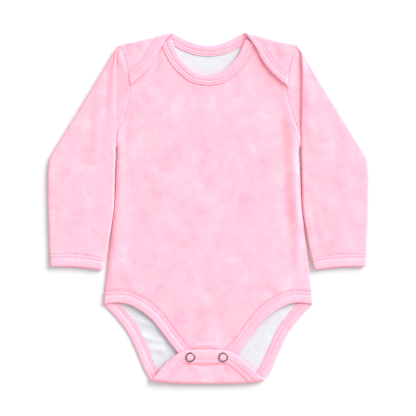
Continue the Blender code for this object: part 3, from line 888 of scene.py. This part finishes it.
# %% [markdown]
# ## The back panel
# The back is cut with a flap at each shoulder and a tab at the crotch. Its upper side as it lies on the
# table is the white inside, and where it folds over the pink outside comes up. So the flat pattern has
# white over and pink under, and the folding does the rest.

# %% Back panel
def flap_armhole(step):
    """The flap's armhole edge on the flat pattern, from the shoulder out to its end."""
    line = flowing(ARMHOLE[:5], step)
    on_flap = line[past(FOLDS["right"], *line.T) < -0.5]
    return unfolded(on_flap)[::-1]


def back_outline():
    neck = seam_line(from_side_to_side(neck_back_half(STEP)), SEWN)
    right = neck[len(neck) // 2:]
    flap = flap_armhole(STEP)
    right = list(right[right[:, 1] < flap[2][1] - 1.0]) + list(flap[2:])
    right += list(flowing(ARMHOLE, STEP)[:-1]) + list(flowing(SIDE, 2 * STEP)[:-1])
    right += list(seam_line(leg_back_half(STEP), SEWN))
    right = np.array(right)
    left = mirrored(right)[::-1]
    return outline(np.vstack([right, left[np.abs(left[:, 0]) > 0.01]]), STEP)


def back_shape(flat, away):
    """The back's own folds. A flap is turned over, so what sinks on the garment rises on the pattern."""
    x, y = flat.T
    height = back_rise(x, y)
    lying = laid(flat, np.zeros_like(x), 0.0)
    turned_over = np.where(lying[:, 2] > FLAP_RISE * 0.9, 1.0, 0.0)
    height -= turned_over * creased(FLAP_CREASES, lying[:, 0], lying[:, 1])
    for sign in (1, -1):
        far, along = reach(flap_armhole(STEP) * (sign, 1), flat)
        height -= seam_roll(far) + pucker(far, along, 6 + sign)
        far, along = reach(side_line * (sign, 1), flat)
        height -= 0.8 * rolled_down(far, 2.0, 0.6)
    return height


back_panel = layer("back_panel_cloth", back_outline(), BACK_GRID, BACK_LEVEL, back_shape,
                   white_inside, pink_jersey)

# %% [markdown]
# ## Bindings
# Every raw edge is wrapped in a folded strip and sewn through with two rows of stitches. The strip is plump
# at its folded edge, pinched where each row of thread pulls it down, and proud of the panel at its seam. It
# is swept along the edge as one closed section. A bevelled curve would be quicker, but its section can't
# keep two pinched rows at the right distance from the edge while it goes round a fold.

# %% Binding section
STITCH = 2.2
# how plump the folded part is, how deep and how wide the thread pulls, and how thick the sewn foot stays
PLUMP = 0.22
PINCH = 0.42
PINCH_HALF = 0.62
SEAM_FOOT = 0.7


def section(width, rows_at):
    """Half of a binding's section: distances from the finished edge, and heights of its face."""
    near_rows = [row + step for row in rows_at for step in (-1.0, -0.5, 0.0, 0.5, 1.0)]
    plain = [0.0, 0.12, 0.4, 0.9, 1.6, 2.8, 4.2, 5.4, sum(rows_at) / 2, width - 0.45, width - 0.12, width]
    spots = np.array(sorted({round(spot, 3) for spot in plain + near_rows if spot <= width}))
    keep = np.append(True, np.diff(spots) > 0.1)
    return spots[keep]


def face_height(spots, width, rows_at, pull):
    """Height of a binding's face over its middle: pull is how tight the thread is at each place."""
    half = BINDING / 2
    fold_edge = np.sqrt(1 - (1 - np.clip(spots / half, 0, 1)) ** 2)
    seam_edge = np.sqrt(1 - (1 - np.clip((width - spots) / 0.45, 0, 1)) ** 2)
    plump = PLUMP * np.sin(np.pi * np.clip(spots / rows_at[0], 0, 1))
    sewn = sum(np.exp(-((spots - row) / PINCH_HALF) ** 2) for row in rows_at)
    foot = SEAM_FOOT + (1 - SEAM_FOOT) * seam_edge
    return (half + plump) * fold_edge * foot - PINCH * pull * sewn


END_ROLL = 2.5


def strip(name, rows, width, rows_at, place, closed=False, seed=0, end_drop=0.0):
    """A binding swept along its rows of finished edge and seam. place sends points of the pattern, with their
    heights, to where they lie."""
    spots = section(width, rows_at)
    line = (rows[:, :2] + rows[:, 2:]) / 2
    run = np.append(0.0, np.cumsum(np.hypot(*np.diff(line, axis=0).T)))
    around = np.concatenate([spots, spots[-2:0:-1]])
    upper = np.concatenate([np.ones(len(spots)), -np.ones(len(spots) - 2)])
    shares = around / width
    edge = rows[:, None, :2]
    flat = edge + (rows[:, None, 2:] - edge) * shares[None, :, None]
    pull = 0.75 + 0.25 * np.cos(2 * np.pi * run / STITCH) + 0.12 * wander(run, (23.0, 11.0), seed)
    swell = 1 + 0.07 * wander(run, (17.0, 29.0, 8.3), seed + 4)
    if not closed:
        from_end = np.minimum(run, run[-1] - run)
        swell = swell * np.sqrt(1 - (1 - np.clip(from_end / BINDING, 0.04, 1)) ** 2)
    height = face_height(around[None, :], width, rows_at, pull[:, None]) * swell[:, None] * upper[None, :]
    if end_drop:
        height = height + end_drop * (1 - np.clip(from_end / END_ROLL, 0, 1))[:, None] ** 2
    places = place(flat.reshape(-1, 2), height.reshape(-1))
    size = len(around)
    count = len(rows)
    faces = []
    for r in range(count if closed else count - 1):
        after = (r + 1) % count
        for n in range(size):
            m = (n + 1) % size
            faces.append((r * size + n, r * size + m, after * size + m, after * size + n))
    if not closed:
        faces.append(tuple(range(size - 1, -1, -1)))
        faces.append(tuple(range((count - 1) * size, count * size)))
    made = cloth_object(name, places, faces, [pink_binding], np.zeros(len(faces), dtype=np.int32))
    print(name, "length, mm:", round(run[-1]), "faces:", len(faces))
    return made


NECK_WIDTH = 12.0
LEG_WIDTH = 14.3
NECK_ROWS = (6.9, 10.1)
LEG_ROWS = (9.8, 13.0)
FINE = 0.73
print("points round a neck binding:", 2 * len(section(NECK_WIDTH, NECK_ROWS)) - 2)

# %% [markdown]
# The neck and leg openings are bound on the flat pieces, before these are folded and sewn up. So each strip
# is swept on the flat pattern and laid as its panel is. The ends of the back neck binding drop a little,
# where they are caught in the armhole seams.

# %% Bindings
def on_front(flat, height):
    return laid(flat, height + front_rise(*flat.T), FRONT_BINDING_LEVEL)


def on_back(flat, height):
    return laid(flat, height, BACK_BINDING_LEVEL)


BINDINGS = {
    "neck_binding_back": (from_side_to_side(neck_back_half(FINE)), NECK_WIDTH, NECK_ROWS, on_back),
    "neck_binding_front": (from_side_to_side(neck_front_half(FINE)), NECK_WIDTH, NECK_ROWS, on_front),
    "leg_binding_front": (from_side_to_side(leg_front_half(FINE)), LEG_WIDTH, LEG_ROWS, on_front),
    "leg_binding_back": (from_side_to_side(leg_back_half(FINE)), LEG_WIDTH, LEG_ROWS, on_back),
}
bindings = {}
for seed, (name, (rows, width, rows_at, place)) in enumerate(BINDINGS.items()):
    end_drop = 0.6 if name == "neck_binding_back" else 0.0
    bindings[name] = strip(name + "_cloth", rows, width, rows_at, place, seed=seed, end_drop=end_drop)

# %% [markdown]
# ## Stitches
# A twin needle leaves two rows of short stitches, 2.2 mm each. Every stitch is a small thread arc that dips
# into the cloth at both ends, so each row reads as a dotted furrow. One small shape is repeated along the
# row by arithmetic and joined into one mesh, which is lighter than hundreds of objects, and each copy is
# sent through the same fold as the cloth under it.

# %% Stitch rows
THREAD_RADIUS = 0.38
STITCH_REACH = 0.58


def stitch_shape():
    """One stitch lying along x: points and faces of a thin arc with pointed ends."""
    rings = (-0.8, 0.0, 0.8)
    sides = 6
    points = [(-1.0, 0.0, -0.6)]
    for ring in rings:
        thick = 1.0 - 0.35 * ring * ring
        lift = -0.5 * ring * ring
        for n in range(sides):
            angle = 2 * math.pi * n / sides
            points.append((ring, thick * math.cos(angle), lift + thick * math.sin(angle)))
    points.append((1.0, 0.0, -0.6))
    last = len(points) - 1
    faces = []
    for n in range(sides):
        m = (n + 1) % sides
        faces.append((0, 1 + m, 1 + n))
        for r in range(len(rings) - 1):
            a = 1 + r * sides
            faces.append((a + n, a + m, a + sides + m, a + sides + n))
        a = 1 + (len(rings) - 1) * sides
        faces.append((a + n, a + m, last))
    return np.array(points) * (STITCH_REACH, THREAD_RADIUS, THREAD_RADIUS), faces


print("one stitch, mm:", round(2 * STITCH_REACH, 2), "long,", 2 * THREAD_RADIUS, "thick")

# %% [markdown]
# The rows run at their own distance from the finished edge. A binding that shows both of its faces, because
# its panel folds over, has its rows on both.

# %% Rows of stitches
def stitch_rows(name, rows, width, rows_at, place, sides, closed=False):
    """Both rows of a binding, on its upper face (1), its lower face (-1), or both."""
    shape, shape_faces = stitch_shape()
    places = []
    faces = []
    for row in rows_at:
        line = rows[:, :2] + (rows[:, 2:] - rows[:, :2]) * row / width
        run = np.append(0.0, np.cumsum(np.hypot(*np.diff(line, axis=0).T)))
        stations = np.arange(STITCH, run[-1] - STITCH, STITCH)
        middle = np.column_stack([np.interp(stations, run, line[:, n]) for n in (0, 1)])
        ahead = np.column_stack([np.interp(stations + 0.5, run, line[:, n]) for n in (0, 1)])
        along = ahead - middle
        along /= np.hypot(*along.T)[:, None]
        across = np.column_stack([-along[:, 1], along[:, 0]])
        rest = face_height(np.array([row]), width, rows_at, 1.0)[0] + 0.10
        for side in sides:
            for n in range(len(stations)):
                flat = middle[n] + shape[:, :1] * along[n] + shape[:, 1:2] * across[n]
                height = side * (rest + shape[:, 2])
                start = len(places) * len(shape)
                places.append(place(flat, height))
                for face in shape_faces:
                    faces.append(tuple(start + v for v in (face if side > 0 else face[::-1])))
    made = cloth_object(name, np.vstack(places), faces, [thread_painted_shade], np.zeros(len(faces), dtype=np.int32))
    print(name, "stitches:", len(places))
    return made


STITCHED_SIDES = {"neck_binding_back": (1, -1), "neck_binding_front": (1,), "leg_binding_front": (1,),
                  "leg_binding_back": (1, -1)}
stitches = {}
for name, (rows, width, rows_at, place) in BINDINGS.items():
    stitches[name] = stitch_rows(name + "_stitches", rows, width, rows_at, place, STITCHED_SIDES[name])

# %% [markdown]
# ## Sleeves
# A sleeve is one piece, joined to the armhole and folded flat. Near the shoulder it can't lie flat and
# still point down beside the body, so it tucks under itself in a pleat. It is swept from sections: each is
# the cloth's middle line from the front of the armhole, under the pleat, over the top, round the outer fold
# and back along the table. A sheet bent by modifiers would tear at the pleat, and sections show every
# layer.

# %% Sleeve table
# columns: y, armhole x, pleat edge x, outer x, pleat depth, pleat share, front edge height
SLEEVE = (
    (178.9, 96.9, 97.3, 98.3, 0, 0, 4.4),
    (175.4, 95.8, 100.8, 101.3, 0, 0, 4.7),
    (170.5, 94.3, 101.7, 104.7, 0.9, 0.9, 4.8),
    (160, 91.3, 102.2, 110.4, 3, 1, 4.8),
    (150, 89.1, 102.4, 116.5, 5.5, 1, 4.8),
    (134, 86.7, 102.4, 126.1, 7, 1, 4.6),
    (128.5, 87, 102.4, 129.5, 7.3, 1, 3.5),
    (119, 87.8, 102.4, 135.4, 7.5, 1, 3),
    (106, 91.5, 102.2, 143.3, 7, 1, 2.8),
    (94, 95.7, 101.9, 150.7, 5, 1, 2.7),
    (82.3, 100.4, 101.8, 157.9, 2.4, 0.5, 2.7),
    (72, 101.2, 101.9, 164.2, 0, 0, 2.8),
    (62, 102.6, 102, 170.2, 0, 0, 2.8),
    (54.5, 102.7, 102.1, 174.2, 0, 0, 2.8),
    (42, 103, 102.4, 176.1, 0, 0, 2.8),
    (22, 103.4, 102.8, 176.3, 0, 0, 2.8),
    (0, 104.2, 103.6, 176, 0, 0, 2.8),
    (-25, 108, 107.4, 175.2, 0, 0, 2.8),
    (-51.3, 113.1, 112.5, 174.3, 0, 0, 2.8),
)
UNDERARM = 66.0
# the cuff: how far it runs, how much its end slants, narrows on each side and arches up, and how far its
# back layer shows below its front one
CUFF_RUN = 15.0
CUFF_SLANT = 4.4
CUFF_SPREAD = 4.0
CUFF_NARROWS = 0.8
CUFF_ARCH = 2.2
CUFF_BACK_SHOWS = 1.3
SLEEVE_TOP = 4.4
# by side, left -1 and right 1: how high the pleat's edge lies, low down and at the shoulder
PLEAT_TOP = {-1: (4.8, 6.2), 1: (4.9, 6.2)}
# how deep the roll under the pleat's edge is, how far the cloth in the wedge stands up at the shoulder, how
# much deeper the roll is there, and how far the whole pleat sits outward
PLEAT_ROLL = {-1: 1.2, 1: 2.4}
PLEAT_WALL = {-1: 2.6, 1: 0.0}
PLEAT_DEEP = {-1: 1.5, 1: 1.3}
PLEAT_SHIFT = {-1: -1.2, 1: 0.2}
# how far the sleeve reaches under the armhole seam, and the distance between layers pressed together
SLEEVE_TUCK = 0.5
LAYER_STEP = 0.86
print("sleeve length along the body, mm:", round(SLEEVE[0][0] - SLEEVE[-1][0]))

# %% [markdown]
# Each section is one line across the sleeve. In a pleat the line goes under, turns and comes back over
# itself. Below the pleat it rises plainly from the seam. Every row of the table says how much of each it
# is, so the pleat opens smoothly on its way down.

# %% Sleeve sections
def sleeve_path(row, side):
    """Middle line of the sleeve's cloth across one section, from its front edge round to its back edge."""
    y, seam, pleat, outer, depth, share, edge_z = row
    share = min(1.0, max(0.0, share))
    pleat += PLEAT_SHIFT[side] * share
    depth = max(0.0, depth)
    start = seam - SLEEVE_TUCK
    turn = min(1.9, 0.5 * (outer - start))
    middle = (SLEEVE_TOP + BACK_LEVEL) / 2
    low_top, high_top = PLEAT_TOP[side]
    pleat_top = low_top + (high_top - low_top) * ease((y - 95.0) / 60.0)
    roll = PLEAT_ROLL[side] * ease(depth / 5.0) + PLEAT_DEEP[side] * ease((y - 150.0) / 12.0)
    top = SLEEVE_TOP + (pleat_top - SLEEVE_TOP) * share
    roll_foot = top - max(roll, LAYER_STEP)
    under = roll_foot - LAYER_STEP
    wedge = pleat - start
    tucked = (
        (start + min(0.8, 0.2 * wedge), edge_z - 0.2),
        (start + min(2.2, 0.4 * wedge), edge_z + 0.1),
        (start + 0.75 * wedge, under + 0.1 + PLEAT_WALL[side] * ease((y - 150.0) / 12.0)),
        (pleat - 0.1, under + 0.05),
        (pleat + depth - 0.6, under),
        (pleat + depth, under + 0.5 * LAYER_STEP),
        (pleat + depth - 0.6, roll_foot),
        (pleat + 0.6, roll_foot),
        (pleat, (roll_foot + top) / 2),
        (pleat + 0.9, top),
    )
    loose_start = (start, edge_z - SEAM_DROP) if y > UNDERARM else (pleat + 0.6, middle + GAP / 2)
    reach_x = min(pleat + 2.2, start + 0.6 * (outer - turn - start))
    plain = []
    for n in range(len(tucked)):
        s = (n + 1) / (len(tucked) + 1)
        if y > UNDERARM:
            x = loose_start[0] + (reach_x - loose_start[0]) * s
            z = loose_start[1] + (top - loose_start[1]) * ease(s)
        else:
            x = pleat + 0.6 + (1 - math.cos(math.pi / 2 * s)) * 2.0
            z = loose_start[1] + (top - loose_start[1]) * math.sin(math.pi / 2 * s)
        plain.append((x, z))
    hidden = [(p[0] + (t[0] - p[0]) * share, p[1] + (t[1] - p[1]) * share) for p, t in zip(plain, tucked)]
    first = hidden[-1][0]
    last = outer - turn
    upper = []
    for s in (0.12, 0.3, 0.5, 0.7, 0.88):
        sink = (top - SLEEVE_TOP) * ease(s * 1.4)
        crown = min(0.5, 0.02 * (outer - pleat)) * math.sin(math.pi * s)
        upper.append((first + (last - first) * s, top - sink + crown))
    edge = []
    for angle in (90, 50, 0, -50, -90):
        a = math.radians(angle)
        x = last + (turn - JERSEY / 2) * math.cos(a)
        edge.append((x, middle + (SLEEVE_TOP - middle) * math.sin(a)))
    if y > UNDERARM:
        lower = [(last + (start - last) * s, BACK_LEVEL) for s in (0.2, 0.4, 0.6, 0.75, 0.85, 0.93, 1.0)]
    else:
        inner = pleat + 0.6
        lower = [(last + (inner + 3.0 - last) * s, BACK_LEVEL) for s in (0.25, 0.6, 1.0)]
        lower += [(inner + 1.3, BACK_LEVEL + 0.15), (inner + 0.4, BACK_LEVEL + 0.6)]
        lower += [(inner + 0.03, middle - 0.75), (inner, middle - GAP / 2)]
    return np.array([loose_start, *hidden, *upper, *edge, *lower], dtype=float)


print("corners in a section:", len(sleeve_path(SLEEVE[5], 1)))

# %% [markdown]
# The corners are rounded by averaging each point with its neighbours a few times, as cloth rounds them. The
# lower end of a sleeve slants, and arches up in its middle.

# %% Rounding and slant
# points between two corners, and the corners between which the upper layer may carry folds
DENSE = 5
UPPER_FROM = 10
UPPER_TO = 16


def rounded(path):
    """The path with more points and its corners softened."""
    spots = np.arange(0, len(path) - 1 + 1e-6, 1 / DENSE)
    line = np.column_stack([np.interp(spots, np.arange(len(path)), path[:, n]) for n in (0, 1)])
    for _ in range(14):
        line[1:-1] = 0.25 * line[:-2] + 0.5 * line[1:-1] + 0.25 * line[2:]
    return line


def arch(share):
    """0 at both sides of a sleeve and 1 in its middle."""
    return 1 - (2 * np.clip(share, 0.0, 1.0) - 1) ** 2


def slant(y, pleat, outer, x):
    """The lower end of a sleeve is a little higher on its outer side, and arches up in its middle."""
    share = (x - pleat) / (outer - pleat)
    lean = CUFF_SLANT * ease((10.0 - y) / 60.0) * (share - 0.5)
    return lean + CUFF_ARCH * ease((-5.0 - y) / 45.0) * arch(share)


print("points across a sleeve section:", (len(sleeve_path(SLEEVE[5], 1)) - 1) * DENSE + 1)

# %% [markdown]
# Laid sleeves carry long soft folds that run from the pleat toward the cuff. They sit at different places
# on the two sleeves, and fade out before the cuff.

# %% Sleeves
# columns: x0, y0, x1, y1, bow, half width, height
SLEEVE_CREASES = {
    -1: (
        (109, 160, 113, 92, 0, 5.5, -0.55),
        (117, 140, 124, 40, 2, 8, 0.45),
        (128, 110, 150, 20, -4, 11, -0.5),
        (150, 70, 160, -40, 3, 10, 0.35),
        (116, 30, 132, -44, 3, 9, -0.4),
        (108, 62, 128, 50, 0, 6, 0.3),
    ),
    1: (
        (110, 146, 116, 60, -2, 8, 0.5),
        (124, 120, 146, 36, 4, 12, -0.5),
        (146, 60, 164, -30, -3, 9, 0.35),
        (112, 20, 124, -46, -3, 8, -0.45),
        (134, 10, 150, -46, 2, 9, 0.3),
    ),
}
SLEEVE_STEP = 2.0
# the last row but one lies this close to the end, in steps, so that smooth shading doesn't darken the end
END_ROW = 0.1


def make_sleeve(side):
    """One sleeve swept through its sections."""
    rows = flowing(SLEEVE, SLEEVE_STEP)
    rows = np.vstack([rows[:-1], (1 - END_ROW) * rows[-1:] + END_ROW * rows[-2:-1], rows[-1:]])
    on_seam = rows[:, 0] > ARMHOLE[-1][1]
    rows[on_seam, 1] = np.interp(rows[on_seam, 0], armhole_line[::-1, 1], armhole_line[::-1, 0])
    lines = []
    for row in rows:
        line = rounded(sleeve_path(row, side))
        index = np.arange(len(line)) / DENSE
        on_top = ease(index - UPPER_FROM) * ease(UPPER_TO - index)
        x = line[:, 0]
        y = np.full(len(line), row[0])
        line[:, 1] += on_top * creased(SLEEVE_CREASES[side], x, y)
        line[:, 1] += on_top * 0.1 * wander(x * 0.6 + y, (37.0, 23.0, 61.0), side + 3)
        lines.append(line)
    lines = np.array(lines)
    along = np.gradient(lines, axis=1)
    along /= np.maximum(np.hypot(along[..., 0], along[..., 1]), 1e-6)[..., None]
    across = np.stack([-along[..., 1], along[..., 0]], axis=-1) * JERSEY / 2
    y = rows[:, :1] + slant(rows[:, :1], rows[:, 2:3], rows[:, 3:4], lines[..., 0])
    outer = np.stack([side * (lines[..., 0] + across[..., 0]), y, lines[..., 1] + across[..., 1]], axis=-1)
    inner = np.stack([side * (lines[..., 0] - across[..., 0]), y, lines[..., 1] - across[..., 1]], axis=-1)
    length = lines.shape[1]
    total = lines.shape[0] * length
    r, n = np.meshgrid(np.arange(lines.shape[0] - 1), np.arange(length - 1), indexing="ij")
    a = (r * length + n).ravel()
    top = np.column_stack([a, a + length, a + length + 1, a + 1])
    low = np.column_stack([a, a + 1, a + length + 1, a + length]) + total
    first = np.arange(lines.shape[0] - 1) * length
    last = first + length - 1
    ends = np.arange(length - 1)
    foot = (lines.shape[0] - 1) * length + ends
    rims = np.vstack([
        np.column_stack([first, first + total, first + total + length, first + length]),
        np.column_stack([last, last + length, last + total + length, last + total]),
        np.column_stack([ends, ends + 1, ends + total + 1, ends + total]),
        np.column_stack([foot, foot + total, foot + total + 1, foot + 1]),
    ])
    faces = np.vstack([top, rims, low])
    if side < 0:
        faces = faces[:, ::-1]
    numbers = np.repeat([0, 1], (len(top) + len(rims), len(low))).astype(np.int32)
    name = "sleeve_right_cloth" if side > 0 else "sleeve_left_cloth"
    places = np.vstack([outer.reshape(-1, 3), inner.reshape(-1, 3)])
    made = cloth_object(name, places, faces.tolist(), [pink_jersey, white_inside], numbers)
    steps = np.hypot(*np.moveaxis(np.diff(lines, axis=1), -1, 0)).sum(axis=1)
    area = ((steps[1:] + steps[:-1]) / 2 * -np.diff(rows[:, 0])).sum()
    made["cut"] = [steps.max() * MM, (rows[0, 0] - rows[-1, 0]) * MM, area * MM * MM]
    print(name, "faces:", len(faces), "widest cut, mm:", round(steps.max()),
          "area, cm2:", round(area / 100))
    return made


sleeves = {side: make_sleeve(side) for side in (-1, 1)}

# %% [markdown]
# ## Cuffs
# Each cuff is the same folded strip as the other bindings, closed into a ring round the end of the sleeve.
# The ring is pressed flat, so it is worked out as a racetrack: two straights and two half circles. The
# strip and its stitches are swept as before, and only the place that they are sent to differs.

# %% Cuffs
CUFF_HEIGHT = 5.1
CUFF_GIRTH = 133.0
CUFF_ROWS = (9.9, 13.4)
# half the share of the ring, in quarters, that each half circle takes
CUFF_END = 0.16
CUFF_COUNT = 84


def cuff_place(side):
    """A function that sends points of a cuff's strip, by how far they are round the ring and down from the
    seam, to where they lie."""
    top_y, _, inner, outer = SLEEVE[-1][:4]
    radius = (CUFF_HEIGHT - BINDING) / 2

    def place(flat, height):
        turn = flat[:, 0] / CUFF_GIRTH % 1.0 * 4
        share = flat[:, 1] / CUFF_RUN
        low = inner + CUFF_SPREAD * share + CUFF_HEIGHT / 2
        high = outer - CUFF_NARROWS * share - CUFF_HEIGHT / 2
        ends = CUFF_END
        top_share = np.clip((turn - ends) / (2 - 2 * ends), 0, 1)
        low_share = np.clip((turn - 2 - ends) / (2 - 2 * ends), 0, 1)
        first = np.clip((turn + ends) / (2 * ends), 0, 1)
        right = first - 1 + np.clip((turn - 4 + ends) / (2 * ends), 0, 1)
        left = np.clip((turn - 2 + ends) / (2 * ends), 0, 1)
        angle = np.where(turn < ends, turn / ends * np.pi / 2,
                         np.where(turn < 2 - ends, np.pi / 2,
                                  np.where(turn < 2 + ends, np.pi / 2 + left * np.pi,
                                           np.where(turn < 4 - ends, 3 * np.pi / 2,
                                                    3 * np.pi / 2 + (right + 1) * np.pi))))
        centre = np.where(turn < 2, high + (low - high) * top_share, low + (high - low) * low_share)
        x = centre + (radius + height) * np.cos(angle)
        z = CUFF_HEIGHT / 2 + (radius + height) * np.sin(angle)
        across = (x - inner) / (outer - inner)
        lift = CUFF_SLANT * (across - 0.5) + CUFF_ARCH * arch(across)
        behind = CUFF_BACK_SHOWS * arch(across) * share * ease((CUFF_HEIGHT * 0.6 - z) / 2.0)
        return np.column_stack([side * x, top_y - flat[:, 1] + lift - behind, z])

    return place


def cuff_rows(count):
    """Rows of edge and seam round the ring, closer on the half circles."""
    turns = np.concatenate([np.linspace(a, b, n, endpoint=False) for a, b, n in (
        (0.0, 0.04, 6), (0.04, 0.46, count), (0.46, 0.54, 12), (0.54, 0.96, count), (0.96, 1.0, 6))])
    run = turns * CUFF_GIRTH
    return np.column_stack([run, np.full(len(run), CUFF_RUN), run, np.full(len(run), SEWN)])


print("rows round a cuff:", len(cuff_rows(CUFF_COUNT)))

# %% [markdown]
# The left cuff is a mirror image of the right one, which turns its faces inside out. So the volume inside
# each piece is measured, and a piece with less than none has its faces turned back.

# %% Making the cuffs
def facing_out(piece):
    """Turn a closed piece's faces round if they look inward, which shows as a volume below zero."""
    mesh = piece.data
    mesh.calc_loop_triangles()
    corners = np.array([[mesh.vertices[v].co for v in face.vertices] for face in mesh.loop_triangles])
    if np.einsum("ij,ij->", corners[:, 0], np.cross(corners[:, 1], corners[:, 2])) < 0:
        mesh.flip_normals()


def make_cuff(side):
    name = "cuff_right" if side > 0 else "cuff_left"
    rows = cuff_rows(CUFF_COUNT)
    made = strip(name + "_cloth", rows, CUFF_RUN - SEWN, CUFF_ROWS, cuff_place(side), closed=True,
                 seed=side + 9)
    sewn = stitch_rows(name + "_stitches", rows, CUFF_RUN - SEWN, CUFF_ROWS, cuff_place(side), (1,))
    facing_out(made)
    facing_out(sewn)
    return made, sewn


cuffs = {}
cuff_stitches = {}
for side in (-1, 1):
    cuffs[side], cuff_stitches[side] = make_cuff(side)

# %% [markdown]
# ## Snaps
# Two open-ring snaps close the crotch. Each shows a turned metal ring pressed round a small dome of the
# garment's own cloth, with the dimple that the press leaves in its middle. Both are shapes turned on an
# upright axis, so one lathe function makes them.

# %% Snaps
RING_OUTER = 5.4
RING_INNER = 3.75
SNAP_PITCH = 36.0
SNAP_Y = -163.0
SNAP_MIDDLE = -1.6


def turned(name, centre, profile, material, steps=64):
    """A closed or capped profile of radius and height turned about an upright axis."""
    angle = 2 * np.pi * np.arange(steps) / steps
    profile = np.array(profile)
    radius = profile[None, :, 0]
    x = centre[0] + radius * np.cos(angle)[:, None]
    y = centre[1] + radius * np.sin(angle)[:, None]
    z = centre[2] + np.broadcast_to(profile[None, :, 1], x.shape)
    size = len(profile)
    faces = []
    for n in range(steps):
        m = (n + 1) % steps
        for k in range(size):
            j = (k + 1) % size
            faces.append((n * size + k, m * size + k, m * size + j, n * size + j))
    places = np.stack([x, y, z], axis=-1).reshape(-1, 3)
    return cloth_object(name, places, faces, [material], np.zeros(len(faces), dtype=np.int32))


def ring_profile():
    middle = (RING_OUTER + RING_INNER) / 2
    half = (RING_OUTER - RING_INNER) / 2
    found = []
    for n in range(20):
        a = 2 * math.pi * n / 20
        found.append((middle + half * math.cos(a), 0.5 + 0.55 * math.sin(a)))
    return found


def dome_profile():
    """The cloth drawn up inside the ring, down to its dimple in the middle, and back underneath."""
    over = []
    for n in range(13):
        r = 3.9 * (1 - n / 12)
        dome = 0.75 * math.sqrt(max(0.0, 1 - (r / 4.1) ** 2))
        dimple = 0.35 * math.exp(-(r / 1.0) ** 2)
        over.append((max(r, 0.02), 0.1 + dome - dimple))
    return over + [(0.02, -0.3), (3.9, -0.3)]


tab_top = BACK_BINDING_LEVEL + TAB_RISE + BINDING / 2
rings = {}
domes = {}
for side, name in ((-1, "left"), (1, "right")):
    centre = (side * SNAP_PITCH / 2 + SNAP_MIDDLE, SNAP_Y, tab_top + 0.1)
    rings[side] = turned("snap_ring_" + name + "_metal", centre, ring_profile(), nickel)
    domes[side] = turned("snap_dome_" + name, centre, dome_profile(), pink_binding)
print("snap rings:", 2 * RING_OUTER, "mm across")

# %% [markdown]
# ## The floor and the light
# The garment lies on a plain white floor. The light is a broad soft lamp from the upper right, with white
# all round to fill. It is low enough that troughs and seams show, and broad enough that shadows are soft.

# %% Floor and light
GRAIN = 25.0


def floor_material():
    """Matt white paint, with a grain so faint that it only keeps the floor from looking empty."""
    made, tree = new_material("white_floor_paint")
    where = add(tree, "ShaderNodeTexCoord")
    grain = add(tree, "ShaderNodeTexNoise", {"Scale": 1 / (GRAIN * MM), "Detail": 2.0},
                {"Vector": where.outputs["Object"]})
    colour = add(tree, "ShaderNodeMix", {"data_type": "RGBA", 6: linear("#E3E5E5"), 7: linear("#E6E8E8")},
                 {0: grain.outputs["Fac"]})
    shader = add(tree, "ShaderNodeBsdfPrincipled", {"Roughness": 0.95, "Specular IOR Level": 0.1},
                 {"Base Color": colour.outputs[2]})
    add(tree, "ShaderNodeOutputMaterial", {}, {"Surface": shader.outputs[0]})
    return made


FLOOR_HALF = 3000.0
FLOOR_DEPTH = -0.3
corners = [(x * FLOOR_HALF, y * FLOOR_HALF, FLOOR_DEPTH) for x, y in ((-1, -1), (1, -1), (1, 1), (-1, 1))]
floor = cloth_object("floor", corners, [(0, 1, 2, 3)], [floor_material()], [0])

world = bpy.data.worlds.new("studio")
bpy.context.scene.world = world
world.use_nodes = True
world.node_tree.nodes["Background"].inputs["Color"].default_value = (1.0, 1.0, 1.0, 1.0)
world.node_tree.nodes["Background"].inputs["Strength"].default_value = 0.78

TOWARD_LAMP = Vector((1.0, 0.9, 0.68))
lamp_data = bpy.data.lights.new("soft_lamp", "SUN")
lamp_data.angle = math.radians(44.0)
lamp_data.energy = 4.5
lamp = bpy.data.objects.new("soft_lamp", lamp_data)
lamp.rotation_euler = (-TOWARD_LAMP).to_track_quat("-Z", "Y").to_euler()
bpy.context.scene.collection.objects.link(lamp)
bpy.context.scene.view_settings.view_transform = "Standard"
print("lamp above the horizon, degrees:", round(90 - math.degrees(TOWARD_LAMP.angle(Vector((0, 0, 1))))))

# %% [markdown]
# ## Tying the cloth to the imported model
# The bodysuit is one body, so every piece rides on it. The imported solids that the new pieces stand in for
# are hidden, and the imported snap studs take the nickel. The two panels and the sleeves carry the size they
# are cut to.

# %% Riding and replacing
on_front_panel = [bindings["neck_binding_front"], bindings["leg_binding_front"],
                  stitches["neck_binding_front"], stitches["leg_binding_front"]]
on_back_panel = [bindings["neck_binding_back"], bindings["leg_binding_back"],
                 stitches["neck_binding_back"], stitches["leg_binding_back"],
                 *rings.values(), *domes.values()]
on_sleeves = {side: [cuffs[side], cuff_stitches[side]] for side in (-1, 1)}
panels = [front_panel, back_panel, *sleeves.values()]
for piece in [*panels, *on_front_panel, *on_back_panel, *on_sleeves[-1], *on_sleeves[1]]:
    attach(piece, "root")
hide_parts("front_panel")
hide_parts("back_panel")
for name, piece in bindings.items():
    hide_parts(name)
for side, name in ((-1, "left"), (1, "right")):
    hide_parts("sleeve_" + name)
    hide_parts("cuff_" + name)
    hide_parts("snap_ring_" + name)
    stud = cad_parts["snap_stud_" + name]
    for place in stud.material_slots:
        place.material = nickel

# %% [markdown]
# A sheet is a piece that is cut flat. The table lists each one with what it rests on and which pieces are
# sewn to it, and each prints how large it is cut. A sleeve's cut is all the way round it.

# %% Sheets
SHEETS = (
    (front_panel, [back_panel, sleeves[-1], sleeves[1]], on_front_panel),
    (back_panel, [floor], on_back_panel),
    (sleeves[-1], [floor], on_sleeves[-1]),
    (sleeves[1], [floor], on_sleeves[1]),
)
for piece, under, sewn_on in SHEETS:
    width, length, area = piece["cut"]
    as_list(under)
    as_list(sewn_on)
    print(piece.name, "is cut to, mm:", round(1000 * width), "x", round(1000 * length))
